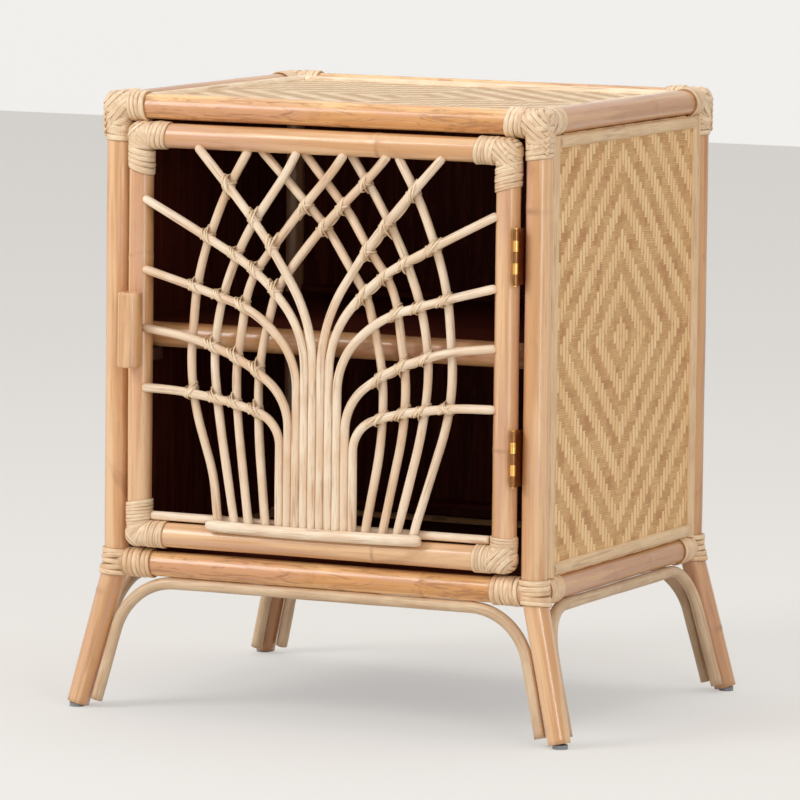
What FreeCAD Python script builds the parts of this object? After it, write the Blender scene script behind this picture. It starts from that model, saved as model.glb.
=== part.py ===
import FreeCAD, Part
import math
import os

# Rattan storage side table: a pole-framed cabinet on splayed legs, with one hinged lattice door.
#
# Millimetres.  X runs to the right along the front, Y runs to the back, Z runs up from the floor.
# The model is drawn about the middle of its four posts and set down, by save(), on the middle of
# its own footprint, because the door's handle reaches further forward than the feet reach back.

os.makedirs("parts", exist_ok=True)

Vec = FreeCAD.Vector
X_AXIS = Vec(1, 0, 0)
Y_AXIS = Vec(0, 1, 0)
Z_AXIS = Vec(0, 0, 1)

# ---------------------------------------------------------------- driving dimensions
# Pole frame
span_x = 460.0            # post to post along the front, centre to centre
span_y = 389.0            # post to post along the side, centre to centre
pole_d = 26.0             # posts and rails of the cabinet
low_rail_z = 149.0        # centre of the lower rails
high_rail_z = 608.0       # centre of the upper rails

# Legs, the posts' own lower ends, bent outwards
splay_x = 37.0            # how far a foot stands out past its post along the front
splay_y = 15.0            # the same along the side
leg_bend_r = 60.0
foot_d = 23.0             # a leg tapers to this at the floor
glide_d = 15.0
glide_h = 4.0

# Arches of thinner rod, which brace each pair of legs under the rail
arch_d = 12.0
front_arch_r = 65.0
side_arch_r = 50.0
arch_end_z = 8.0          # height at which an arch is cut off beside the foot

# Peel bindings, wound over the joints
peel_t = 1.5              # thickness of a winding over a cabinet pole
door_peel_t = 1.2         # the same over a door pole
collar_len = 30.0         # length of the winding on a rail, from the post's face
post_wrap_len = 22.0      # winding on a post below the upper rail
door_wrap_len = 36.0      # winding on each arm of a door corner, from the corner's centre
binding_bevel = 2.0       # round the top of an upper corner

# Panels: a stained board, a woven mat over it and half-round trims on the mat
board_t = 4.0
mat_t = 1.5
board_near = 1.0          # inner face of a wall board, outside the posts' centre plane
trim_w = 13.0
trim_t = 5.5
top_trim_w = 11.0
top_trim_t = 4.5
floor_board_t = 5.0
floor_board_low = 3.0     # underside of the floor board above the lower rails' centre

# Shelf
shelf_top_z = 390.0
shelf_board_t = 5.0
shelf_pole_d = 26.0
shelf_pole_back = 22.0    # shelf pole behind the front posts' centre plane
cleat_w = 12.0
cleat_h = 12.0
shelf_bead_h = 8.0        # quarter-round bead at the back of the shelf
floor_bead_h = 16.0       # the same along the back of the floor
bead_depth = 7.0

# Door frame
door_pole_d = 25.0
door_side_gap = 3.5       # between a stile and its post
door_low_gap = 5.5        # between the door's lower rail and the cabinet's lower rail
door_high_gap = 2.5
door_proud = 8.0          # door's centre plane in front of the posts' centre plane

# Door lattice of peeled rods
rod_d = 8.8
rod_gap = 0.15            # between rods that lie against each other
fan_set_out = 9.5         # the fan rods' centre plane in front of the door's centre plane
clamp_len = 236.0
clamp_h = 10.0
clamp_t = 5.0
clamp_up = 2.0            # middle of the clamp above the lower rail's top

# Handle, a short pole on the left stile
handle_d = 24.0
handle_len = 75.0
handle_z = 386.5          # centre of the handle
handle_cope = 0.8         # how deep the handle is coped over the stile
handle_bevel = 1.0

# Hinges
hinge_len = 55.0
hinge_knuckles = 5
hinge_barrel_d = 5.4
hinge_pin_d = 2.6
hinge_leaf_w = 22.5
hinge_leaf_t = 1.1
hinge_from_rail = 101.5   # hinge centre to the nearer door rail's centre
hinge_axis_in = 14.75     # barrel's centre inside the right post's centre
hinge_axis_front = 21.5   # barrel's centre in front of the posts' centre plane
knuckle_gap = 0.25
pin_clear = 0.05

# Magnetic catch behind the left stile
catch_w = 16.0
catch_h = 12.0
catch_depth = 18.0
strike_w = 12.0
strike_h = 16.0
strike_t = 1.2
strike_gap = 0.5

# Seats and fits
seat = 0.25               # a board, mat, trim or arch beside a round pole
mat_seat = 0.1            # between flat faces: board, mat and trim

# ---------------------------------------------------------------- sizes worked out from them
pole_r = pole_d / 2
foot_r = foot_d / 2
arch_r = arch_d / 2
door_r = door_pole_d / 2
rod_r = rod_d / 2
shelf_pole_r = shelf_pole_d / 2
half_x = span_x / 2
half_y = span_y / 2
top_z = high_rail_z + pole_r
leg_drop = low_rail_z
front_y = -half_y
door_y = front_y - door_proud
stile_x = half_x - pole_r - door_side_gap - door_r
door_low_z = low_rail_z + pole_r + door_low_gap + door_r
door_high_z = high_rail_z - pole_r - door_high_gap - door_r
rod_pitch = rod_d + rod_gap
hinge_axis = Vec(half_x - hinge_axis_in, front_y - hinge_axis_front, 0)
handle_y = door_y - door_r - handle_d / 2 + handle_cope
footprint_front = handle_y - handle_d / 2
footprint_back = half_y + splay_y + foot_r
mid_y = (footprint_front + footprint_back) / 2


# ---------------------------------------------------------------- helpers
def save(name, *shapes):
    """Write one node: the given solids, set down on the middle of the footprint."""
    solids = [s for shape in shapes for s in shape.Solids]
    node = solids[0] if len(solids) == 1 else Part.makeCompound(solids)
    node = node.copy()
    node.translate(Vec(0, -mid_y, 0))
    node.exportStep("parts/%s.step" % name)


def cylinder(start, end, radius):
    axis = end - start
    return Part.makeCylinder(radius, axis.Length, start, axis)


def box(x0, x1, y0, y1, z0, z1):
    return Part.makeBox(x1 - x0, y1 - y0, z1 - z0, Vec(x0, y0, z0))


def mirror_x(shape):
    return shape.mirror(Vec(0, 0, 0), X_AXIS)


def mirror_y(shape):
    return shape.mirror(Vec(0, 0, 0), Y_AXIS)


def bent_wire(points, radius=None, share=0.48):
    """Straight runs joined by tangent arcs: of the given radius, or as large as the runs allow."""
    runs = [(b - a).Length for a, b in zip(points, points[1:])]
    edges = []
    last = points[0]
    for i in range(1, len(points) - 1):
        corner = points[i]
        back = (points[i - 1] - corner).normalize()
        ahead = (points[i + 1] - corner).normalize()
        half = back.getAngle(ahead) / 2
        tangent = share * min(runs[i - 1], runs[i]) if radius is None else radius / math.tan(half)
        reach = tangent / math.cos(half) - tangent * math.tan(half)
        enter = corner + back * tangent
        leave = corner + ahead * tangent
        middle = corner + (back + ahead).normalize() * reach
        edges.append(Part.LineSegment(last, enter).toShape())
        edges.append(Part.Arc(enter, middle, leave).toShape())
        last = leave
    if (points[-1] - last).Length > 1e-6:
        edges.append(Part.LineSegment(last, points[-1]).toShape())
    return Part.Wire(edges)


def tube(wire, radius):
    """A round rod along a wire of runs and tangent arcs."""
    start = wire.Edges[0].valueAt(wire.Edges[0].FirstParameter)
    heading = wire.Edges[0].tangentAt(wire.Edges[0].FirstParameter)
    profile = Part.Wire([Part.makeCircle(radius, start, heading)])
    solid = wire.makePipeShell([profile], True, False)
    length = sum(e.Length for e in wire.Edges)
    assert abs(solid.Volume / (math.pi * radius ** 2 * length) - 1) < 0.02
    return solid


def half_round(start, end, out, width, height):
    """A half-round strip from start to end, flat side down, its crown towards out."""
    along = (end - start).normalize()
    across = along.cross(out).normalize()
    left = start - across * (width / 2)
    right = start + across * (width / 2)
    crown = start + out * height
    face = Part.Face(Part.Wire([Part.Arc(left, crown, right).toShape(),
                                Part.LineSegment(right, left).toShape()]))
    return face.extrude(end - start)


def cut_all(shape, cutters):
    """The largest solid that is left of a shape after cutting."""
    near = [c for c in cutters if c.BoundBox.intersect(shape.BoundBox)]
    rest = shape.cut(near) if near else shape
    return max(rest.Solids, key=lambda s: s.Volume)


def fuse_all(shapes):
    whole = shapes[0].multiFuse(shapes[1:]) if len(shapes) > 1 else shapes[0]
    return whole.removeSplitter()


# ---------------------------------------------------------------- the pole frame
CORNERS = [("front_left", -1, -1), ("front_right", 1, -1), ("back_left", -1, 1), ("back_right", 1, 1)]


def leg_offset(z):
    """How far a leg's axis has moved out from its post's axis at height z, as shares of the splay."""
    return (low_rail_z - z) / leg_drop


def post(sx, sy, grow=0.0):
    """A post, straight down to the lower rail, then bent outwards and tapered to its foot."""
    x, y = sx * half_x, sy * half_y
    corner = Vec(x, y, low_rail_z)
    foot = Vec(x + sx * splay_x, y + sy * splay_y, 0)
    half_turn = (Vec(0, 0, -1).getAngle(foot - corner)) / 2
    tangent = leg_bend_r * math.tan(half_turn)
    down = (foot - corner).normalize()
    knee = corner + down * tangent
    radius = pole_r + grow
    pole = tube(bent_wire([Vec(x, y, top_z), corner, knee], leg_bend_r), radius)
    leg = Part.makeCone(radius, foot_r + grow, (foot - knee).Length, knee, down)
    solid = pole.fuse(leg).removeSplitter()
    toe = Part.makeCylinder(3 * pole_r, 3 * pole_r, foot + Vec(0, 0, glide_h - 3 * pole_r))
    return solid.cut(toe)


def rail_line(side, z):
    """The two ends of a rail's axis, at the posts it joins."""
    ends = {"front": (Vec(-half_x, -half_y, z), Vec(half_x, -half_y, z)),
            "back": (Vec(-half_x, half_y, z), Vec(half_x, half_y, z)),
            "left": (Vec(-half_x, -half_y, z), Vec(-half_x, half_y, z)),
            "right": (Vec(half_x, -half_y, z), Vec(half_x, half_y, z))}
    return ends[side]


def collars(z):
    """The windings on the two rails beside the front right post."""
    start = Vec(half_x, -half_y, z)
    return [cylinder(start, start + step * (pole_r + collar_len), pole_r + peel_t)
            for step in (-X_AXIS, Y_AXIS)]


def high_binding():
    """Winding over the upper front right corner: down the post and out along both rails."""
    foot = Vec(half_x, -half_y, high_rail_z - pole_r - post_wrap_len)
    sleeve = Part.makeCylinder(pole_r + peel_t, top_z + peel_t - foot.z, foot)
    rim = [e for e in sleeve.Edges if e.Closed and e.CenterOfMass.z > high_rail_z]
    return fuse_all([sleeve.makeChamfer(binding_bevel, rim)] + collars(high_rail_z))


def low_binding():
    """Winding over the lower front right joint: a band round the post between the rails' collars."""
    slab = box(0, span_x, -span_y, 0, low_rail_z - pole_r, low_rail_z + pole_r)
    return fuse_all([post(1, -1, peel_t).common(slab)] + collars(low_rail_z))


def at_all_corners(shape):
    """A piece at the front right post, and its mirror images at the other three."""
    left = mirror_x(shape)
    return [shape, left, mirror_y(shape), mirror_y(left)]


posts = {name: post(sx, sy) for name, sx, sy in CORNERS}
SIDES = ("front", "back", "left", "right")
rails = {}
for level, z in (("lower", low_rail_z), ("upper", high_rail_z)):
    for side in SIDES:
        start, end = rail_line(side, z)
        others = list(posts.values())
        if side in ("left", "right"):
            others += [rails[(level, "front")], rails[(level, "back")]]
        rails[(level, side)] = cut_all(cylinder(start, end, pole_r), others)

for name, sx, sy in CORNERS:
    save("post_" + name, posts[name])
for (level, side), rail in rails.items():
    save("%s_rail_%s" % (level, side), rail)
for level, winding in (("upper", high_binding()), ("lower", low_binding())):
    joint = [posts["front_right"], rails[(level, "front")], rails[(level, "right")]]
    save(level + "_bindings", *at_all_corners(cut_all(winding, joint)))
glide = Part.makeCylinder(glide_d / 2, glide_h, Vec(half_x + splay_x, -half_y - splay_y, 0))
save("foot_glides", *at_all_corners(glide))


# ---------------------------------------------------------------- arches
def arch(along_x, sign):
    """A rod from foot to foot: beside the legs, round a bend and straight along under the rail."""
    half, splay, other, other_splay = ((half_x, splay_x, half_y, splay_y) if along_x
                                       else (half_y, splay_y, half_x, splay_x))
    lean = math.atan(splay / leg_drop)
    inset = (pole_r + arch_r + seat) / math.cos(lean)
    bar_z = low_rail_z - pole_r - arch_r - seat

    def beside_leg(side, z):
        run = side * (half + splay * leg_offset(z) - inset)
        away = sign * (other + other_splay * leg_offset(z))
        return Vec(run, away, z) if along_x else Vec(away, run, z)

    route = [beside_leg(-1, arch_end_z), beside_leg(-1, bar_z), beside_leg(1, bar_z), beside_leg(1, arch_end_z)]
    return tube(bent_wire(route, front_arch_r if along_x else side_arch_r), arch_r)


save("arch_front", arch(True, -1))
save("arch_back", arch(True, 1))
save("arch_left", arch(False, -1))
save("arch_right", arch(False, 1))

# ---------------------------------------------------------------- walls, floor and top
# Every sheet and trim lies in a frame of four poles, between a near and a far face that are both
# measured outwards from the poles' centre plane.  Its edges are sawn square, just clear of the poles.
board_far = board_near + board_t
mat_near = board_far + mat_seat
mat_far = mat_near + mat_t
trim_near = mat_far + mat_seat


def edge_inset(near, winding=0.0):
    """How far inside a pole's axis an edge has to stay to clear its surface at this height."""
    return math.sqrt((pole_r + winding + seat) ** 2 - near ** 2)


def sheet(origin, u_dir, v_dir, u_half, v_half, near, far, wraps):
    """A board or mat in a frame of poles, notched at its corners for the windings.

    wraps gives, for the low-v and the high-v corners, how far the windings run from the corner
    along u and along v."""
    out = u_dir.cross(v_dir)
    u_edge, v_edge = u_half - edge_inset(near), v_half - edge_inset(near)
    u_notch, v_notch = u_half - edge_inset(near, peel_t), v_half - edge_inset(near, peel_t)
    points = []
    for v_sign, (along_u, along_v) in ((-1, wraps[0]), (1, wraps[1])):
        u_end = u_half - along_u - seat
        v_end = min(v_half - along_v - seat, v_notch - seat)
        quarter = [(u_end, v_edge), (u_end, v_notch), (u_notch, v_notch), (u_notch, v_end), (u_edge, v_end)]
        side = [(-u, v_sign * v) for u, v in reversed(quarter)] + [(u, v_sign * v) for u, v in quarter]
        points += side if v_sign == -1 else side[::-1]
    corners = [origin + u_dir * u + v_dir * v + out * near for u, v in points]
    return Part.Face(Part.makePolygon(corners + corners[:1])).extrude(out * (far - near))


def trims(origin, u_dir, v_dir, u_half, v_half, near, width, height):
    """Four half-round strips round a frame of poles: two run through, and two butt between them."""
    out = u_dir.cross(v_dir)
    inset = edge_inset(near, peel_t)
    u_line = u_half - inset - width / 2
    v_line = v_half - inset - width / 2
    base = origin + out * near
    through = v_dir * (v_half - inset)
    between = u_dir * (u_line - width / 2 - mat_seat)
    strips = []
    for sign in (-1, 1):
        at_u = base + u_dir * (sign * u_line)
        at_v = base + v_dir * (sign * v_line)
        strips.append(half_round(at_u - through, at_u + through, out, width, height))
        strips.append(half_round(at_v - between, at_v + between, out, width, height))
    return strips


wall_mid_z = (low_rail_z + high_rail_z) / 2
wall_half_z = (high_rail_z - low_rail_z) / 2
rail_wrap = pole_r + collar_len
wall_wraps = [(rail_wrap, pole_r), (rail_wrap, pole_r + post_wrap_len)]
flat_wraps = [(rail_wrap, rail_wrap), (rail_wrap, rail_wrap)]
right_wall = (Vec(half_x, 0, wall_mid_z), Y_AXIS, Z_AXIS, half_y, wall_half_z)
back_wall = (Vec(0, half_y, wall_mid_z), -X_AXIS, Z_AXIS, half_x, wall_half_z)
top_frame = (Vec(0, 0, high_rail_z), X_AXIS, Y_AXIS, half_x, half_y)
floor_frame = (Vec(0, 0, low_rail_z), X_AXIS, Y_AXIS, half_x, half_y)

right_board = sheet(*right_wall, board_near, board_far, wall_wraps)
right_mat = sheet(*right_wall, mat_near, mat_far, wall_wraps)
right_trims = trims(*right_wall, trim_near, trim_w, trim_t)
save("side_board_right", right_board)
save("side_board_left", mirror_x(right_board))
save("side_mat_right", right_mat)
save("side_mat_left", mirror_x(right_mat))
save("side_trims_right", *right_trims)
save("side_trims_left", *[mirror_x(strip) for strip in right_trims])
save("back_board", sheet(*back_wall, board_near, board_far, wall_wraps))
save("back_mat", sheet(*back_wall, mat_near, mat_far, wall_wraps))
save("back_trims", *trims(*back_wall, trim_near, trim_w, trim_t))
save("top_board", sheet(*top_frame, board_near, board_far, flat_wraps))
# The top's trims stand on its board, and its mat is cut to lie flat between them.
top_trim_near = board_far + mat_seat
top_trim_h = trim_near + top_trim_t - top_trim_near
top_mat_inset = edge_inset(top_trim_near, peel_t) + top_trim_w + mat_seat
top_mat_x = half_x - top_mat_inset
top_mat_y = half_y - top_mat_inset
save("top_mat", box(-top_mat_x, top_mat_x, -top_mat_y, top_mat_y, high_rail_z + mat_near, high_rail_z + mat_far))
save("top_trims", *trims(*top_frame, top_trim_near, top_trim_w, top_trim_h))
save("floor_board", sheet(*floor_frame, floor_board_low, floor_board_low + floor_board_t, flat_wraps))

# ---------------------------------------------------------------- shelf
wall_x = half_x + board_near - seat
wide_posts = [Part.makeCylinder(pole_r + seat, top_z, Vec(sx * half_x, sy * half_y, 0))
              for name, sx, sy in CORNERS]
shelf_pole_y = front_y + shelf_pole_back
shelf_pole_z = shelf_top_z + 1.0 - shelf_pole_r
shelf_pole = cylinder(Vec(-wall_x, shelf_pole_y, shelf_pole_z), Vec(wall_x, shelf_pole_y, shelf_pole_z),
                      shelf_pole_r)
shelf_pole = cut_all(shelf_pole, wide_posts)
shelf_back_y = half_y + board_near - seat
shelf = box(-wall_x, wall_x, shelf_pole_y, shelf_back_y, shelf_top_z - shelf_board_t, shelf_top_z)
wide_shelf_pole = cylinder(Vec(-span_x, shelf_pole_y, shelf_pole_z), Vec(span_x, shelf_pole_y, shelf_pole_z),
                           shelf_pole_r + seat)
shelf = cut_all(shelf, wide_posts + [wide_shelf_pole])
cleat_z = shelf_top_z - shelf_board_t - mat_seat
cleats = []
for sign in (-1, 1):
    x0, x1 = sorted((sign * wall_x, sign * (wall_x - cleat_w)))
    cleat = box(x0, x1, shelf_pole_y, half_y, cleat_z - cleat_h, cleat_z)
    cleats.append(cut_all(cleat, wide_posts + [wide_shelf_pole]))
save("shelf_pole", shelf_pole)
save("shelf_board", shelf)
save("shelf_cleats", *cleats)


def back_bead(z, height, depth):
    """A quarter-round bead between the back posts, against the back wall."""
    end = half_x - pole_r - seat
    back = half_y + board_near - mat_seat
    low = Vec(-end, back, z)
    tip = Vec(-end, back - depth, z)
    high = Vec(-end, back, z + height)
    bulge = Vec(-end, back - depth * math.sqrt(0.5), z + height * math.sqrt(0.5))
    face = Part.Face(Part.Wire([Part.LineSegment(high, low).toShape(), Part.LineSegment(low, tip).toShape(),
                                Part.Arc(tip, bulge, high).toShape()]))
    return face.extrude(X_AXIS * (2 * end))


floor_bead_z = low_rail_z + pole_r + peel_t + seat
save("back_beads", back_bead(shelf_top_z + mat_seat, shelf_bead_h, bead_depth),
     back_bead(floor_bead_z, floor_bead_h, bead_depth))

# ---------------------------------------------------------------- door frame
door_corners = [(sx, z) for sx in (-1, 1) for z in (door_low_z, door_high_z)]


def stile(sign):
    """A stile with its ends rounded over, as a pole is where it turns a bound corner."""
    low = Vec(sign * stile_x, door_y, door_low_z)
    high = Vec(sign * stile_x, door_y, door_high_z)
    return fuse_all([cylinder(low, high, door_r), Part.makeSphere(door_r, low), Part.makeSphere(door_r, high)])


def door_binding(sx, z):
    """Winding round a door corner, out along both arms."""
    corner = Vec(sx * stile_x, door_y, z)
    inward = Z_AXIS if z == door_low_z else -Z_AXIS
    radius = door_r + door_peel_t
    return fuse_all([Part.makeSphere(radius, corner),
                     cylinder(corner, corner + inward * door_wrap_len, radius),
                     cylinder(corner, corner - X_AXIS * (sx * door_wrap_len), radius)])


stiles = [stile(-1), stile(1)]
door_rails = [cut_all(cylinder(Vec(-stile_x, door_y, z), Vec(stile_x, door_y, z), door_r), stiles)
              for z in (door_low_z, door_high_z)]
door_frame = stiles + door_rails
save("door_stile_left", stiles[0])
save("door_stile_right", stiles[1])
save("door_rail_lower", door_rails[0])
save("door_rail_upper", door_rails[1])
save("door_bindings", *[cut_all(door_binding(sx, z), door_frame) for sx, z in door_corners])

# ---------------------------------------------------------------- door lattice
# The lattice is drawn on a door of this width and height between the centres of its poles, and
# stretched to the real one.  x is out from the door's middle line, z up from its lower rail.
drawn_half_width = 201.0
drawn_height = 400.0

# Each fan rod rises in the middle bundle, elbows outwards and runs to the stile or the upper rail:
# its elbow's height in the bundle, then the points of its arm, from the outermost rod to the innermost.
FAN_ARMS = [(122.0, [(88, 138), (150, 147), (194, 148)]),
            (145.0, [(78, 180), (138, 201), (194, 208)]),
            (186.0, [(67, 231), (137, 252), (194, 267)]),
            (211.0, [(62, 269), (140, 311), (194, 338)]),
            (223.0, [(58, 305), (91, 344), (135, 392)])]

# Each bowed rod stands in the clamp, bows outwards behind the fan and leans across the middle of the
# door to the upper rail.  Its depth is named point by point: in the clamp, behind the fan, or at its
# head on the rail.  Where the two sides cross, the right rods dive behind the left ones, and just
# under the rail the left rods lift towards its front: those points count for their own side alone.
BOWS = [[(106, 6, "clamp"), (109, 26, "clamp"), (117, 62, "behind"), (146, 152, "behind"), (137, 268, "behind"),
         (107, 346, "behind"), (81, 391, "behind")],
        [(87, 6, "clamp"), (91, 26, "clamp"), (112, 122, "behind"), (119, 184, "behind"), (110, 243, "behind"),
         (86, 303, "behind"), (52, 352, "dive"), (46, 360, "behind"), (38, 372, "lift"), (25, 391, "head")],
        [(72, 6, "clamp"), (75, 26, "clamp"), (91, 118, "behind"), (94, 168, "behind"), (80, 260, "behind"),
         (50, 299, "behind"), (28, 327, "dive"), (20, 337, "behind"), (-10, 371, "lift"), (-27, 391, "head")],
        [(54, 6, "clamp"), (56, 26, "clamp"), (68, 108, "behind"), (69, 178, "behind"), (50, 251, "behind"),
         (34, 274, "behind"), (6, 309, "dive"), (-3, 320, "behind"), (-55, 372, "lift"), (-74, 391, "head")]]
FOOT_Z = 6.0

layer_pitch = rod_d + 0.2
fan_y = -fan_set_out
behind_y = fan_y + layer_pitch
head_y = behind_y - 0.7 * layer_pitch


def on_door(x, z, depth, side):
    """A point of the drawing, on the real door."""
    return Vec(side * x * stile_x / drawn_half_width, door_y + depth,
               door_low_z + z * (door_high_z - door_low_z) / drawn_height)


def fan_route(order, side):
    bundle_x = (len(FAN_ARMS) - order - 0.5) * rod_pitch
    elbow_z, arm = FAN_ARMS[order]
    foot = on_door(0, FOOT_Z, fan_y, side)
    elbow = on_door(0, elbow_z, fan_y, side)
    foot.x = elbow.x = side * bundle_x
    return [foot, elbow] + [on_door(x, z, fan_y, side) for x, z in arm]


def bow_route(order, side):
    route = []
    dived = False
    for x, z, where in BOWS[order]:
        if where == ("dive" if side == -1 else "lift"):
            continue
        dived = dived or where == "dive"
        depth = {"clamp": fan_y, "head": head_y}.get(where, behind_y)
        route.append(on_door(x, z, behind_y + layer_pitch if dived else depth, side))
    return route


def rod(wire):
    """A lattice rod, coped to the door's poles."""
    return cut_all(tube(wire, rod_r), door_frame)


for side, hand in ((-1, "left"), (1, "right")):
    fan = [bent_wire(fan_route(i, side)) for i in range(len(FAN_ARMS))]
    bows = [bent_wire(bow_route(i, side)) for i in range(len(BOWS))]
    save("fan_rods_" + hand, *[rod(w) for w in fan])
    save("bowed_rods_" + hand, *[rod(w) for w in bows])


# The rods stand between a sill rod on the lower rail and a half-round clamp nailed over them.
sill_z = door_low_z + door_r + door_peel_t + rod_r + mat_seat
sill_y = door_y + fan_y + rod_d + rod_gap
sill = cylinder(Vec(-stile_x, sill_y, sill_z), Vec(stile_x, sill_y, sill_z), rod_r)
wide_corners = [cylinder(Vec(sx * stile_x, door_y, door_low_z), Vec(sx * stile_x, door_y, door_high_z),
                         door_r + door_peel_t + seat) for sx in (-1, 1)]
save("sill_rod", cut_all(sill, wide_corners))
clamp_y = door_y + fan_y - rod_r - mat_seat
clamp_z = door_low_z + door_r + clamp_up
save("rod_clamp", half_round(Vec(-clamp_len / 2, clamp_y, clamp_z), Vec(clamp_len / 2, clamp_y, clamp_z),
                             -Y_AXIS, clamp_h, clamp_t))

# ---------------------------------------------------------------- handle
handle = cylinder(Vec(-stile_x, handle_y, handle_z - handle_len / 2),
                  Vec(-stile_x, handle_y, handle_z + handle_len / 2), handle_d / 2)
handle = handle.makeChamfer(handle_bevel, [e for e in handle.Edges if e.Closed])
save("door_handle", cut_all(handle, [stiles[0]]))

# ---------------------------------------------------------------- hinges
barrel_r = hinge_barrel_d / 2
pin_r = hinge_pin_d / 2
leaf_off = hinge_leaf_t + 0.2     # a leaf's outer face from the hinge's axis


def leaf_heading(pole_centre, pole_radius, side):
    """The direction in which a leaf runs back from the barrel to lie against its pole."""
    to_pole = pole_centre - hinge_axis
    turn = math.asin((pole_radius + leaf_off + 0.05) / to_pole.Length)
    angle = math.atan2(to_pole.y, to_pole.x) - side * turn
    return Vec(math.cos(angle), math.sin(angle), 0)


def hinge_leaf(z, pole_centre, pole_radius, side, own):
    """A leaf, with the knuckles that belong to it.  side is -1 for the door's, 1 for the post's."""
    heading = leaf_heading(pole_centre, pole_radius, -side)
    outward = Vec(heading.y, -heading.x, 0) * side
    pitch = hinge_len / hinge_knuckles
    low = hinge_axis + Vec(0, 0, z - hinge_len / 2)

    def plate(near, far, z0, z1):
        corners = [low + heading * near + outward * 0.2, low + heading * far + outward * 0.2,
                   low + heading * far + outward * leaf_off, low + heading * near + outward * leaf_off]
        face = Part.Face(Part.makePolygon([c + Vec(0, 0, z0) for c in corners + corners[:1]]))
        return face.extrude(Vec(0, 0, z1 - z0))

    parts = [plate(barrel_r + 0.4, hinge_leaf_w, 0, hinge_len)]
    for i in range(hinge_knuckles):
        if (i % 2 == 0) == own:
            z0 = i * pitch + knuckle_gap / 2
            z1 = (i + 1) * pitch - knuckle_gap / 2
            parts.append(Part.makeCylinder(barrel_r, z1 - z0, low + Vec(0, 0, z0)))
            parts.append(plate(barrel_r * 0.5, barrel_r + 0.6, z0, z1))
    bore = Part.makeCylinder(pin_r + pin_clear, hinge_len + 2, low - Vec(0, 0, 1))
    return fuse_all(parts).cut(bore)


def hinge_pin(z):
    low = hinge_axis + Vec(0, 0, z - hinge_len / 2)
    shank = Part.makeCylinder(pin_r, hinge_len + 1.6, low - Vec(0, 0, 0.8))
    heads = [Part.makeCylinder(pin_r + 0.6, 0.8, low + Vec(0, 0, dz)) for dz in (-0.8, hinge_len)]
    return fuse_all([shank] + heads)


hinge_heights = (door_low_z + hinge_from_rail, door_high_z - hinge_from_rail)
post_centre = Vec(half_x, front_y, 0)
stile_centre = Vec(stile_x, door_y, 0)
save("hinge_leaves_post", *[hinge_leaf(z, post_centre, pole_r, 1, True) for z in hinge_heights])
save("hinge_leaves_door", *[hinge_leaf(z, stile_centre, door_r, -1, False) for z in hinge_heights])
save("hinge_pins", *[hinge_pin(z) for z in hinge_heights])

# ---------------------------------------------------------------- catch
strike_y = door_y + door_r + 0.1
catch_y = strike_y + strike_t + strike_gap
catch_top_z = shelf_pole_z - shelf_pole_r - 0.1
save("catch_magnet", box(-stile_x - catch_w / 2, -stile_x + catch_w / 2, catch_y, catch_y + catch_depth,
                         catch_top_z - catch_h, catch_top_z))
save("catch_strike", box(-stile_x - strike_w / 2, -stile_x + strike_w / 2, strike_y, strike_y + strike_t,
                         catch_top_z - catch_h / 2 - strike_h / 2, catch_top_z - catch_h / 2 + strike_h / 2))
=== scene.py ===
import bpy
import math
import numpy as np
from mathutils import Matrix, Vector


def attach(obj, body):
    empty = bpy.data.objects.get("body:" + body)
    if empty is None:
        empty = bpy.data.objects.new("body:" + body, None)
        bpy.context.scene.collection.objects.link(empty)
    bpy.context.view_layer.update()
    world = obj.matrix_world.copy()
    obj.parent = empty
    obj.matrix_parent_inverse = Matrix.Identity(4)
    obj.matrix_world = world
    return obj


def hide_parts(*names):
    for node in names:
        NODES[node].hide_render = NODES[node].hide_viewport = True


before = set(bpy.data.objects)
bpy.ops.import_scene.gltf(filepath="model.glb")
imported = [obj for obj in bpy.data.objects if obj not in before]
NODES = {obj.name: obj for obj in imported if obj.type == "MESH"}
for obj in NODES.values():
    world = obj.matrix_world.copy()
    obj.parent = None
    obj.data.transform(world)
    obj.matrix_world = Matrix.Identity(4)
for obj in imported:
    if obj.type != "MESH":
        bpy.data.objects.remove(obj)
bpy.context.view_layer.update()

MM = 0.001
RNG = np.random.default_rng(7)

# ---------------------------------------------------------------- sizes, in millimetres
# The middle between the posts lies this far behind the middle of the footprint.
MID_Y = 8.6
HALF_X, HALF_Y = 230.0, 194.5
FRONT_Y, BACK_Y = MID_Y - HALF_Y, MID_Y + HALF_Y
POLE_R = 13.0
LOW_RAIL_Z, HIGH_RAIL_Z = 149.0, 608.0
TOP_Z = HIGH_RAIL_Z + POLE_R
SPLAY_X, SPLAY_Y = 37.0, 15.0
LEG_BEND_R = 60.0
LEG_TAPER_Z = LOW_RAIL_Z - 8.0
FOOT_R = 11.5
GLIDE_H = 4.0
RAIL_REACH = POLE_R - 3.0
SHELF_POLE_Y, SHELF_POLE_Z = FRONT_Y + 22.0, 378.0

DOOR_Y = FRONT_Y - 8.0
DOOR_R = 12.5
STILE_X = 201.0
DOOR_LOW_Z, DOOR_HIGH_Z = 180.0, 580.0
HINGE_X, HINGE_Y = 215.25, FRONT_Y - 21.5
HINGE_Z = (281.5, 478.5)
LEAF_OFF = 1.3
SCREW_R = 2.7
SCREW_APART = 20.0
HANDLE_Y, HANDLE_Z = DOOR_Y - 23.7, 386.5
HANDLE_R, HANDLE_HALF = 12.2, 37.5
HANDLE_BEVEL = 2.5

ARCH_R = 6.0
FRONT_ARCH_R, SIDE_ARCH_R = 65.0, 50.0
ARCH_SEAT = 0.25
ARCH_END_Z = 8.0
ARCH_BAR_Z = LOW_RAIL_Z - POLE_R - ARCH_R + ARCH_SEAT

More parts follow.
